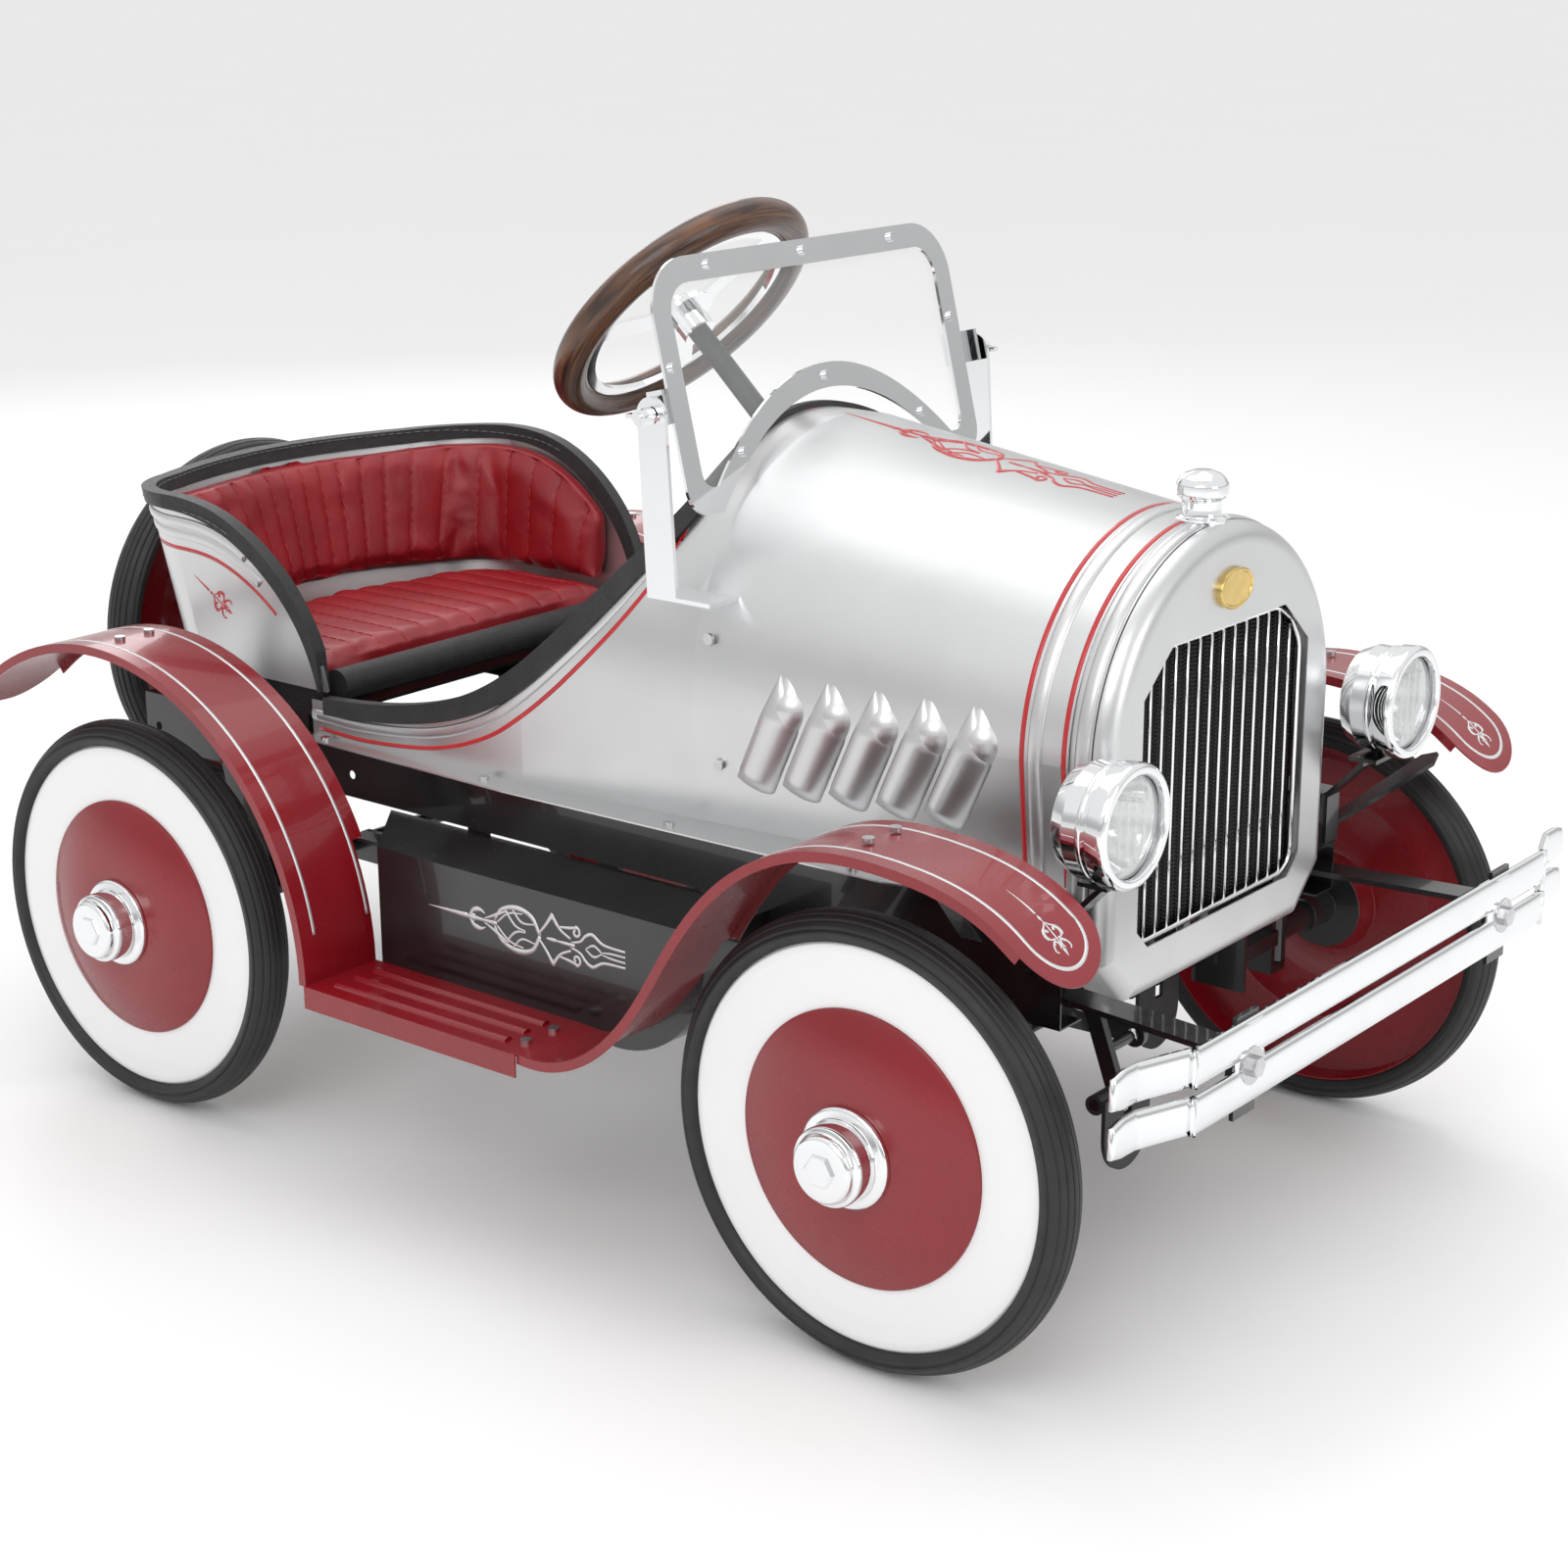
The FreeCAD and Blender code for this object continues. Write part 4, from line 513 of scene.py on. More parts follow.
def disc_rows():
    dome = [(34.0 + 59.5 * t, 14.4 + 12.6 * (1 - t ** 2)) for t in
            (1, 0.95, 0.9, 0.8, 0.7, 0.6, 0.5, 0.4, 0.3, 0.2, 0.1, 0)]
    front = [(137.0, 9.0, 1), (137.0, 11.0, 1), (135.0, 12.6, 1), (130.0, 13.4, 1),
             (115.0, 13.9, 1), (100.0, 13.4, 1), (94.4, 12.6, 1), (93.7, 12.6, 0)]
    front += [(r, a, 0) for r, a in dome] + [(24.0, 27.0, 0), (6.5, 27.0, 2)]
    back = [(6.5, -22.0, 2), (14.0, -22.0, 2), (14.0, 8.0, 2), (34.0, 10.0, 0)]
    back += [(r, a - 3.0, 0) for r, a in reversed(dome[:-1])]
    back += [(120.0, 9.0, 0), (135.2, 8.0, 0), (135.2, -12.6, 0), (136.4, -13.0, 0),
             (137.0, -12.6, 1)]
    return millimetres(front + back)


def hubcap_rows():
    return millimetres([
        (24.6, 27.2, 0), (34.0, 27.2, 0), (34.0, 30.2, 0), (32.5, 31.6, 0), (27.5, 32.4, 0),
        (26.9, 34.0, 0), (26.9, 46.0, 0), (26.2, 48.2, 0), (23.6, 49.0, 0), (22.8, 50.4, 0),
        (22.4, 53.0, 0), (20.8, 54.7, 0), (15.5, 55.0, 0), (0.0, 55.0, 0)])


def hex_boss(centre, out):
    side = side_of(out)
    turn = out.cross(side)
    rows = ((11.5, 54.6), (11.5, 56.2), (10.4, 57.0))
    verts = [centre + out * a / 1000 + (side * math.cos(k * math.pi / 3)
                                        + turn * math.sin(k * math.pi / 3)) * r / 1000
             for r, a in rows for k in range(6)]
    return faces_out(new_mesh("boss", verts, tube_faces(0, 3, 6), [CHROME], smooth=False))


def tyre_and_disc(label, centre, out, wall):
    """A ribbed tyre and the disc inside it, whose outer band has the finish wall."""
    tyre = lathe("ribbed_tyre_" + label, tyre_rows(), centre, out, [RUBBER], 160, 0, True)
    disc = lathe("pressed_disc_" + label, disc_rows(), centre, out, [RED, wall, BLACK], 144,
                 0.0006, True)
    return tyre, disc


def road_wheels():
    for label, body in WHEEL_BODIES.items():
        centre = middle_of("tyre_" + label)
        out = Vector((0, math.copysign(1, centre.y), 0))
        tyre, disc = tyre_and_disc(label, centre, out, WHITE)
        cap = lathe("stepped_cap_" + label, hubcap_rows(), centre, out, [CHROME], 96, 0.0006)
        cap = join("stepped_cap_" + label, [cap, hex_boss(centre, out)])
        for obj, node, slot in ((tyre, "tyre_", "black_rubber"), (disc, "wheel_disc_", "white_paint"),
                                (cap, "hubcap_", "chrome")):
            riding(obj, body)
            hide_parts(node + label)


def spare_wheel():
    centre = middle_of("spare_tyre")
    out = FORWARD if middle_of("spare_disc").x > centre.x else -FORWARD
    tyre, disc = tyre_and_disc("spare", centre, out, RED)
    for obj, node, slot in ((tyre, "spare_tyre", "black_rubber"), (disc, "spare_disc", "white_paint")):
        riding(obj, "chassis")
        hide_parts(node)


# ---- soft goods -------------------------------------------------------------------------------
PRESSURE = 4.0
CLOTH_FRAMES = 20
CUSHION_PITCH = 0.026
SEAT_SWEEP = 116                # degrees that the rim goes round each way from the rear
BACK_PITCH = 9.6                # degrees between the seams of the seat back
SEAT_MIDDLE_X = -0.36
SEAM_THREAD = (0.0046, 0.0026, 0.0005, RED_THREAD)      # stitch length, gap, radius and finish
PIPING_THREAD = (0.0042, 0.0022, 0.00045, THREAD)
LINE_BREAK = 0.015              # spots further apart than this don't share a stitch
ARM_CURVE = ((-0.900, 0.466), (-0.790, 0.463), (-0.714, 0.458), (-0.657, 0.428),
             (-0.619, 0.383), (-0.604, 0.335), (-0.602, 0.300))
def copy_of(node, name):
    obj = bpy.data.objects.new(name, NODES[node].data.copy())
    bpy.context.collection.objects.link(obj)
    obj.data.materials.clear()
    return obj


def use_only(obj):
    bpy.context.view_layer.objects.active = obj
    for other in bpy.context.selected_objects:
        other.select_set(False)
    obj.select_set(True)


def apply_modifier(obj, modifier):
    use_only(obj)
    bpy.ops.object.modifier_apply(modifier=modifier.name)


def points_of(obj):
    co = np.zeros(len(obj.data.vertices) * 3)
    obj.data.vertices.foreach_get("co", co)
    return co.reshape(-1, 3)


def set_points(obj, co):
    obj.data.vertices.foreach_set("co", co.ravel())
    obj.data.update()


def normals_of(obj):
    out = np.zeros(len(obj.data.vertices) * 3)
    obj.data.vertices.foreach_get("normal", out)
    return out.reshape(-1, 3)


def plump(obj, voxel, inset, cap):
    """Remeshes a pad, shrinks it a little and swells it as cloth under pressure.

    The swell is limited to cap, and points neither out through the tub nor down through the pan.
    """
    remesh = obj.modifiers.new("remesh", "REMESH")
    remesh.mode, remesh.voxel_size = "VOXEL", voxel
    apply_modifier(obj, remesh)
    start = points_of(obj) - normals_of(obj) * inset
    set_points(obj, start)
    cloth = obj.modifiers.new("cloth", "CLOTH")
    cloth.settings.use_pressure = True
    cloth.settings.uniform_pressure_force = PRESSURE
    cloth.settings.effector_weights.gravity = 0.0
    cloth.settings.quality = 5
    scene = bpy.context.scene
    for number in range(1, CLOTH_FRAMES + 1):
        scene.frame_set(number)
    apply_modifier(obj, cloth)
    scene.frame_set(1)
    moved = points_of(obj) - start
    length = np.linalg.norm(moved, axis=1, keepdims=True)
    moved *= np.minimum(1.0, cap / np.maximum(length, 1e-9))
    outward = start - (SEAT_MIDDLE_X, 0, 0)
    outward[:, 2] = 0
    outward /= np.linalg.norm(outward, axis=1, keepdims=True)
    moved -= outward * np.maximum(0.0, np.sum(moved * outward, axis=1))[:, None]
    moved[:, 2] = np.maximum(moved[:, 2], 0.0)
    set_points(obj, start + moved)
    relax = obj.modifiers.new("relax", "SMOOTH")
    relax.factor, relax.iterations = 0.5, 6
    apply_modifier(obj, relax)
    refine = obj.modifiers.new("refine", "SUBSURF")
    refine.levels = refine.render_levels = 1
    apply_modifier(obj, refine)
    obj.data.polygons.foreach_set("use_smooth", [True] * len(obj.data.polygons))
    obj.data.update()
    return obj


def wave_noise(co, rng, count, low, high):
    """Smooth pseudo-random field made of a few plane waves."""
    field = np.zeros(len(co))
    for _ in range(count):
        direction = rng.normal(size=3)
        direction /= np.linalg.norm(direction)
        field += np.sin(co @ direction * rng.uniform(low, high) + rng.uniform(0, 2 * math.pi))
    return field / count


def seam_depth(share, depth, sharp):
    """How far a surface is pulled in at a share of the way between two seams."""
    return depth * (1 - np.abs(np.sin(np.pi * share)) ** sharp)


def cushion():
    pad = plump(copy_of("seat_cushion", "cushion_cover"), 0.004, 0.003, 0.008)
    pad.data.materials.append(RED_VINYL)
    co, normal = points_of(pad), normals_of(pad)
    up = np.clip(normal[:, 2], 0, 1)
    lines = seam_depth(co[:, 1] / CUSHION_PITCH + 0.5, 0.0021, 0.45)
    rng = np.random.default_rng(SEED)
    crease = wave_noise(co * (0.5, 1, 1), rng, 14, 30, 130) * 0.0009
    co += normal * ((crease - lines) * up)[:, None]
    set_points(pad, co)
    riding(pad, "chassis")
    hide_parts("seat_cushion")
    return pad


def back_turn(co):
    """Angle of points of the seat back round the middle of the seat, 0 at the rear."""
    return np.degrees(np.arctan2(co[:, 1], SEAT_MIDDLE_X - co[:, 0]))


def seat_back():
    pad = plump(copy_of("seat_back_pad", "back_cover"), 0.004, 0.0028, 0.007)
    pad.data.materials.append(RED_VINYL)
    co, normal = points_of(pad), normals_of(pad)
    inward = np.array([SEAT_MIDDLE_X, 0, 0]) - co
    inward[:, 2] = 0
    inward /= np.linalg.norm(inward, axis=1, keepdims=True)
    facing = np.clip(np.sum(normal * inward, axis=1) * 1.6 - 0.2, 0, 1)
    lines = seam_depth(back_turn(co) / BACK_PITCH + 0.5, 0.0034, 0.42)
    rng = np.random.default_rng(SEED + 1)
    sag = wave_noise(co * (1, 1, 0.35), rng, 10, 40, 150)
    crease = np.abs(wave_noise(co + 0.3 * co[:, [2, 0, 1]], rng, 12, 60, 220)) ** 1.5
    co += normal * ((sag * 0.0022 - crease * 0.0025 - lines) * facing)[:, None]
    set_points(pad, co)
    riding(pad, "chassis")
    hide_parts("seat_back_pad")
    return pad


def add_stitch(verts, faces, start, normal, end, radius):
    """One thread made of six-sided rings, thin at both ends."""
    side = normal.cross((end - start).normalized()).normalized()
    faces += tube_faces(len(verts), 4, 6)
    for t, size in ((0, 0.35), (0.2, 1), (0.8, 1), (1, 0.35)):
        mid = start.lerp(end, t) + normal * radius * (0.55 * size)
        for k in range(6):
            angle = k * math.pi / 3
            verts.append(mid + (side * math.cos(angle) + normal * math.sin(angle)) * radius * size)


def stitch_row(spots, length, gap, radius, mat):
    """Row of short raised stitches along surface spots, or None where no stitch has room."""
    verts, faces = [], []
    walked, start = 0.0, None
    for (p, n), (q, _) in zip(spots, spots[1:]):
        step = (q - p).length
        if step > LINE_BREAK:
            start, walked = None, 0.0
            continue
        walked += step
        if start is None and walked >= gap:
            start, walked = (p, n), 0.0
        elif start is not None and walked >= length:
            add_stitch(verts, faces, *start, q, radius)
            start, walked = None, 0.0
    return faces_out(new_mesh("stitches", verts, faces, [mat])) if verts else None


def sew(name, lines, thread):
    """One piece made of a row of stitches along each line of spots."""
    rows = [stitch_row([s for s in spots if s], *thread) for spots in lines]
    riding(join(name, [row for row in rows if row]), "chassis")
def arm_height(x):
    rows = smooth_path([(px, 0, pz) for px, pz in ARM_CURVE])
    return float(np.interp(x - AXLE_X, [p.x for p in rows], [p.z for p in rows]))


def seat_rim_spots(tree, drop, outside):
    centre = Vector((SEAT_MIDDLE_X, 0, 0))
    found = []
    for degrees in np.arange(-SEAT_SWEEP, SEAT_SWEEP + 0.5, 0.5):
        angle = math.radians(180 + degrees)
        out = Vector((math.cos(angle), math.sin(angle), 0))
        height, hit = 0.46, None
        for _ in range(4):
            origin = Vector((centre.x, 0, height - drop))
            hit = spot(tree, origin + out * 0.4, -out) if outside else spot(tree, origin, out)
            if hit is None:
                break
            height = arm_height(hit[0].x)
        if hit is not None and (hit[0] - centre).dot(out) > 0.1:
            found.append(hit)
    return with_smooth_normals(found)


def seam_stitches(pad_back, pad_seat):
    """Thread along every seam of the seat back and the cushion."""
    lines = []
    tree = tree_of(pad_back)
    for seam in range(-12, 13):
        angle = math.radians((seam - 0.5) * BACK_PITCH)
        out = Vector((-math.cos(angle), math.sin(angle), 0))
        lines.append([spot(tree, (SEAT_MIDDLE_X, 0, z), out) for z in np.arange(0.352, 0.455, 0.002)])
    tree = tree_of(pad_seat)
    for seam in range(-6, 7):
        y = (seam - 0.5) * CUSHION_PITCH
        lines.append([spot(tree, (x, y, 0.5), (0, 0, -1)) for x in np.arange(-0.43, -0.27, 0.002)])
    sew("seat_seam_stitches", lines, SEAM_THREAD)


def seat_stitches():
    """Thread along the outer and the inner edge of the seat's rim piping."""
    tree = surface("seat_piping")
    lines = [seat_rim_spots(tree, drop, outside) for drop, outside in ((0.0055, True), (0.002, False))]
    sew("seat_piping_stitches", lines, PIPING_THREAD)


# ---- trim lines on the body --------------------------------------------------------------------
BODY = surface("body_shell")
SHELL = surface("radiator_shell")
REACH = 0.4                     # rays start this far out, clear of the body
ARCH_CENTRE_Z = 0.38
COWL_HALF = 0.17
RED_WIDTH = 0.0034
COCKPIT_LINE = ((-0.613, 0.300), (-0.560, 0.2985), (-0.492, 0.305), (-0.440, 0.321),
                (-0.400, 0.345), (-0.352, 0.384), (-0.312, 0.424), (-0.285, 0.462),
                (-0.276, 0.490))


def side_ray(x, z, side):
    return (AXLE_X + x, side * REACH, z), (0, -side, 0)


def arch_ray(x, degrees):
    """Ray onto the arched top at one station, with 0 degrees on the right and 180 on the left."""
    a = math.radians(180 - degrees)
    out = Vector((0, math.cos(a), math.sin(a)))
    return Vector((AXLE_X + x, 0, ARCH_CENTRE_Z)) + out * REACH, -out


def hoop_rays(x, low):
    """Rays that run up one side, over the arch and down the other side at one station."""
    heights = np.linspace(low, ARCH_CENTRE_Z, 12)
    rays = [side_ray(x, z, -1) for z in heights]
    rays += [arch_ray(x, degrees) for degrees in np.arange(1, 180, 2.0)]
    return rays + [side_ray(x, z, 1) for z in reversed(heights)]


def strip_on(name, tree, rays, width, mat, section=FLAT):
    spots = spots_on(tree, rays)
    return band(name, spots, [width] * len(spots), mat, section)


def cockpit_rays(offset_x, offset_z, top_x):
    """Rays up the cockpit edge on the right, over the cowl and down on the left."""
    side = smooth_path([(x + offset_x, 0, z + offset_z) for x, z in COCKPIT_LINE])
    end = side[-1]
    first = math.degrees(math.atan2(end.z - ARCH_CENTRE_Z, COWL_HALF))
    rays = [side_ray(p.x, p.z, -1) for p in side]
    for degrees in np.arange(first + 3, 180 - first - 2, 2.0):
        share = min(1.0, (min(degrees, 180 - degrees) - first) / 30)
        rays.append(arch_ray(end.x + (top_x - end.x) * share, degrees))
    return rays + [side_ray(p.x, p.z, 1) for p in reversed(side)]


def tub_trim():
    """Two raised steps under the seat's rim piping and the red line below them."""
    tub = surface("seat_tub")
    steps = []
    for drop, width, height in ((0.0165, 0.009, 0.0024), (0.0265, 0.008, 0.0014)):
        spots = seat_rim_spots(tub, drop, True)
        steps.append(band("step", spots, [width] * len(spots), SILVER, rounded_section(height)))
    riding(join("tub_beads", steps), "chassis")
    spots = seat_rim_spots(tub, 0.038, True)
    line = band("tub_red_line", spots, [0.0032] * len(spots), RED_LINE, FLAT)
    riding(line, "chassis")


def body_trim():
    reds = [strip_on("hoop", BODY, hoop_rays(0.0168, 0.297), RED_WIDTH, RED_LINE),
            strip_on("hoop", BODY, hoop_rays(0.0470, 0.297), RED_WIDTH, RED_LINE),
            strip_on("edge", BODY, cockpit_rays(0, 0, -0.2755), RED_WIDTH, RED_LINE)]
    riding(join("body_red_lines", reds), "chassis")
    half_round = rounded_section(0.0024)
    beads = [strip_on("bead", BODY, hoop_rays(0.0262, 0.296), 0.0105, SILVER, half_round),
             strip_on("bead", SHELL, hoop_rays(0.0592, 0.262), 0.0105, SILVER, half_round),
             strip_on("bead", BODY, cockpit_rays(-0.006, 0.0105, -0.2825), 0.009, SILVER,
                      rounded_section(0.0019))]
    riding(join("body_beads", beads), "chassis")
    seam = strip_on("radiator_seam", SHELL, hoop_rays(0.0668, 0.262), 0.0009, STEEL)
    riding(seam, "chassis")


# ---- louvres and bumper -------------------------------------------------------------------------
LOUVRE_FOOT = (-0.2070, 0.3320)     # rear lower corner of the first louvre
LOUVRE_RUN = (0.0385, 0.0785)       # from that corner to the louvre's point
LOUVRE_PITCH = 0.037
LOUVRE_WIDTH = 0.0305
LOUVRE_HEIGHT = 0.0086


def hood_side(x, z):
    """Half width of the hood's side at a point, from its two front sections."""
    back = (0.050 - x) / 0.290
    foot, shoulder, top = 0.140 + 0.028 * back, 0.148 + 0.030 * back, 0.518 + 0.040 * back
    if z < ARCH_CENTRE_Z:
        return foot + (shoulder - foot) * (z - 0.293) / 0.087
    return shoulder * math.sqrt(1 - ((z - ARCH_CENTRE_Z) / (top - ARCH_CENTRE_Z)) ** 2)


def louvre(index, side):
    """Pressed leaf with a crisp rear edge, a rounded foot and a pointed top."""
    run = Vector(LOUVRE_RUN)
    along = run.normalized()
    across = Vector((along.y, -along.x))
    foot = Vector(LOUVRE_FOOT) + Vector((index * LOUVRE_PITCH, 0))
    rows, cols = 40, 20
    verts = []
    for i in range(rows + 1):
        s = i / rows
        taper = max(0.0, 1 - max(0.0, (s - 0.66) / 0.34) ** 1.9)
        round_foot = math.sqrt(max(0.0, 1 - max(0.0, 1 - s / 0.09) ** 2)) * 0.75 + 0.25
        width = LOUVRE_WIDTH * taper * round_foot
        ends = min(1.0, (s / 0.12) ** 0.5) * min(1.0, ((1 - s) / 0.3)) ** 0.6
        for j in range(cols + 1):
            t = j / cols
            p = foot + along * (s * run.length) + across * (t * width)
            rise = LOUVRE_HEIGHT * ends * math.sin(math.pi * t ** 0.85) ** 0.62 if 0 < t < 1 else 0
            base = hood_side(p.x, p.y) - 0.0006
            verts.append((AXLE_X + p.x, side * (base + rise), p.y))
    count = cols + 1
    faces = [(i * count + j, i * count + j + 1, i * count + count + j + 1, i * count + count + j)
             for i in range(rows) for j in range(cols)]
    skin = new_mesh("louvre", verts, faces, [SILVER])
    solid = skin.modifiers.new("thickness", "SOLIDIFY")
    solid.thickness, solid.offset = 0.0006, 0
    apply_modifier(skin, solid)
    return faces_out(skin)


def louvres():
    skins = [louvre(index, side) for index in range(5) for side, _ in SIDES]
    riding(join("louvre_skins", skins), "chassis")


BUMPER_X = AXLE_X + 0.206
BUMPER_HALF = ((0.0, 0.0), (0.120, 0.0), (0.232, 0.0), (0.242, -0.003), (0.275, -0.0145),
               (0.284, -0.016), (0.306, -0.016))
BUMPER_END = BUMPER_HALF[-1][0]
STRIP_HEIGHTS = (0.2125, 0.2435)
STRIP_WIDTH = 0.025
TIE_Y = 0.1725
TIE_HEIGHTS = (0.2015, 0.228, 0.2545)
TIE_WIDTH = 0.035
CROWN = [(-0.5, -0.003), (-0.5, -0.0008), (-0.47, 0.0001), (-0.3, 0.0011), (-0.1, 0.0015),
         (0.1, 0.0015), (0.3, 0.0011), (0.47, 0.0001), (0.5, -0.0008), (0.5, -0.003)]


def bumper():
    """Two crowned spring strips with jogged ends, and the plates that tie them."""
    half = smooth_path([(y, dx, 0) for y, dx in BUMPER_HALF], 10)
    line = [(BUMPER_X + p.y, -p.x) for p in reversed(half)] + [(BUMPER_X + p.y, p.x) for p in half[1:]]
    ends = [min(1.0, 0.8 + (BUMPER_END - abs(y)) / 0.012 * 0.2) for _, y in line]
    pieces = []
    for middle in STRIP_HEIGHTS:
        spots = []
        for i, (x, y) in enumerate(line):
            ahead, behind = line[min(i + 1, len(line) - 1)], line[max(i - 1, 0)]
            normal = Vector((ahead[1] - behind[1], behind[0] - ahead[0], 0)).normalized()
            spots.append((Vector((x, y, middle)), normal))
        pieces.append(band("strip", spots, [STRIP_WIDTH * share for share in ends], CHROME, CROWN))
    for side, _ in SIDES:
        spots = [(Vector((BUMPER_X - 0.0006, side * TIE_Y, z)), FORWARD) for z in TIE_HEIGHTS]
        pieces.append(band("tie", spots, [TIE_WIDTH] * 3, CHROME, CROWN))
    whole = join("crowned_bumper", pieces)
    riding(whole, "chassis")
    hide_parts("bumper")


# ---- painted ornament ---------------------------------------------------------------------------
def spiral(u, v, start, end, a0, a1, steps=14):
    """Stroke that curls from radius start to radius end round (u, v)."""
    return [(u + (start + (end - start) * t) * math.cos(math.radians(a0 + (a1 - a0) * t)),
             v + (start + (end - start) * t) * math.sin(math.radians(a0 + (a1 - a0) * t)))
            for t in (k / steps for k in range(steps + 1))]


def both_ways(strokes):
    return strokes + [([(u, -v) for u, v in points], widths) for points, widths in strokes]


def spear_scroll():
    """Strokes of the small ornament, about 44 units long: (points, (start, middle, end) widths)."""
    paired = [(spiral(30, 4.4, 1.2, 4.4, 250, -30), (2.0, 1.9, 0.9)),
              (spiral(37.5, 4.2, 0.9, 3.4, 90, 330), (1.7, 1.6, 0.8)),
              ([(24, 0.6), (26, 3.4), (28, 7.2), (31, 8.8), (33.5, 8.0)], (0.7, 1.7, 1.0)),
              ([(34, 1.4), (37, 6.4), (40.5, 8.2), (42.5, 6.6)], (0.8, 1.5, 0.8))]
    single = [([(0, 0), (9, 0), (18, 0)], (0.15, 1.2, 2.0)),
              ([(19, 0), (21, 0), (23, 0)], (0.4, 2.6, 0.4)),
              ([(23, 0), (33, 0), (42, 0)], (0.9, 1.2, 1.2)),
              ([(41, 0), (43, 0), (46, 0)], (3.4, 2.2, 0.2))]
    return both_ways(paired) + single


def long_scroll():
    """Strokes of the long ornament, about 150 units long."""
    paired = [([(33, 1.0), (36, 4.6), (41, 5.6), (45, 4.0)], (1.6, 3.2, 0.5)),
              ([(44, 1.2), (50, 3.6), (58, 7.4), (63, 9.2)], (0.6, 2.2, 0.4)),
              ([(52, 1.6), (58, 9.5), (70, 12.6), (81, 9.6), (87, 0)], (1.4, 3.2, 2.4)),
              ([(54, 1.0), (63, 8.0), (74, 10.0)], (1.2, 1.4, 0.8)),
              ([(60, 10.2), (68, 2.0), (76, 0.4)], (1.4, 1.6, 0.8)),
              ([(66, 11.4), (73, 5.0), (83, 5.6)], (1.2, 1.5, 0.8)),
              ([(86, 1.6), (91, 7.0), (97, 15.0)], (1.2, 1.8, 2.6)),
              ([(96, 14.6), (102, 7.4), (110, 3.4)], (2.6, 1.7, 1.4)),
              ([(101, 8.6), (109, 9.6), (115, 11.0)], (1.2, 1.8, 1.8)),
              (spiral(114.0, 8.0, 3.4, 0.9, 95, -260), (1.8, 1.6, 1.8)),
              ([(110, 1.4), (117, 3.4), (121, 7.4), (126, 9.4), (131, 6.6), (136, 5.0), (150, 4.6)],
               (1.2, 2.2, 1.4)),
              ([(121, 0.2), (127, 3.2), (133, 0.2)], (0.8, 1.6, 0.8)),
              ([(133, 0.6), (140, 1.4), (150, 1.6)], (0.8, 1.3, 1.2))]
    single = [([(0, 0), (15, 0), (31, 0)], (0.15, 1.7, 3.2)),
              ([(31, 0), (34, 0), (37, 0)], (2.0, 4.4, 4.8)),
              ([(36, 0), (44, 0), (54, 0)], (2.8, 1.6, 3.0)),
              ([(97, 0), (104, 0), (113, 0)], (0.8, 1.8, 2.2)),
              ([(92, 0), (96, 0), (99, 0)], (1.2, 2.2, 2.0))]
    return both_ways(paired) + single


def ornament(name, tree, strokes, unit, place, look, mat):
    """Strokes painted on a surface: place turns (u, v) into a ray's start, and look is its direction."""
    made = []
    for points, widths in strokes:
        path = smooth_path([(u, v, 0) for u, v in points], max(3, 24 // len(points)))
        spots, sizes = [], []
        for i, p in enumerate(path):
            hit = spot(tree, place(p.x * unit, p.y * unit), look)
            if hit is not None:
                spots.append(hit)
                sizes.append(np.interp(i / (len(path) - 1), (0, 0.5, 1), widths) * unit)
        if len(spots) > 2:
            made.append(band(name, with_smooth_normals(spots), sizes, mat, FLAT))
    return join(name, made)


FENDER_MIDDLE_Y = 0.280
LINE_HALF = 0.0265              # from the fender's middle to its line
LINE_START = 0.012              # from the fender's nose to its line
LINE_WIDTH = 0.0026
LIFT = 0.03                     # rays start this far off the fender
FENDER_CREST = ((0.152, 0.296), (0.105, 0.339), (0.033, 0.356), (-0.042, 0.350), (-0.094, 0.322),
                (-0.140, 0.270), (-0.184, 0.203), (-0.225, 0.167), (-0.280, 0.156))
REAR_WHEEL = Vector((AXLE_X - 0.713, 0, 0.155))
REAR_FENDER_RADIUS = 0.221


def fender_path(sample):
    """Crest of a front fender from its nose to the running board: (point, normal)."""
    path = smooth_path([(AXLE_X + x, 0, z) for x, z in FENDER_CREST], sample)
    out = []
    for i, p in enumerate(path):
        run = path[min(i + 1, len(path) - 1)] - path[max(i - 1, 0)]
        out.append((p, Vector((run.z, 0, -run.x)).normalized()))
    return [(p, n if n.z > -0.2 else -n) for p, n in out]


def walk(path):
    """Distance of each point along a path."""
    steps = [0.0]
    for (p, _), (q, _) in zip(path, path[1:]):
        steps.append(steps[-1] + (q - p).length)
    return steps


def at_distance(path, steps, distance):
    i = int(np.clip(np.searchsorted(steps, distance) - 1, 0, len(path) - 2))
    t = (distance - steps[i]) / max(steps[i + 1] - steps[i], 1e-9)
    return path[i][0].lerp(path[i + 1][0], t), path[i][1].lerp(path[i + 1][1], t).normalized()


def looped_line(path, side, start, end):
    """Rays for a line along one edge of a fender, round its nose and back along the other edge."""
    steps = walk(path)
    rays = []

    def add(distance, across):
        p, n = at_distance(path, steps, distance)
        origin = Vector((p.x, side * (FENDER_MIDDLE_Y + across), p.z)) + n * LIFT
        rays.append((origin, -n))

    for distance in np.arange(end, start + LINE_HALF, -0.004):
        add(distance, LINE_HALF)
    for degrees in range(0, 181, 9):
        a = math.radians(degrees)
        add(start + LINE_HALF * (1 - math.sin(a)), LINE_HALF * math.cos(a))
    for distance in np.arange(start + LINE_HALF, end, 0.004):
        add(distance, -LINE_HALF)
    return rays


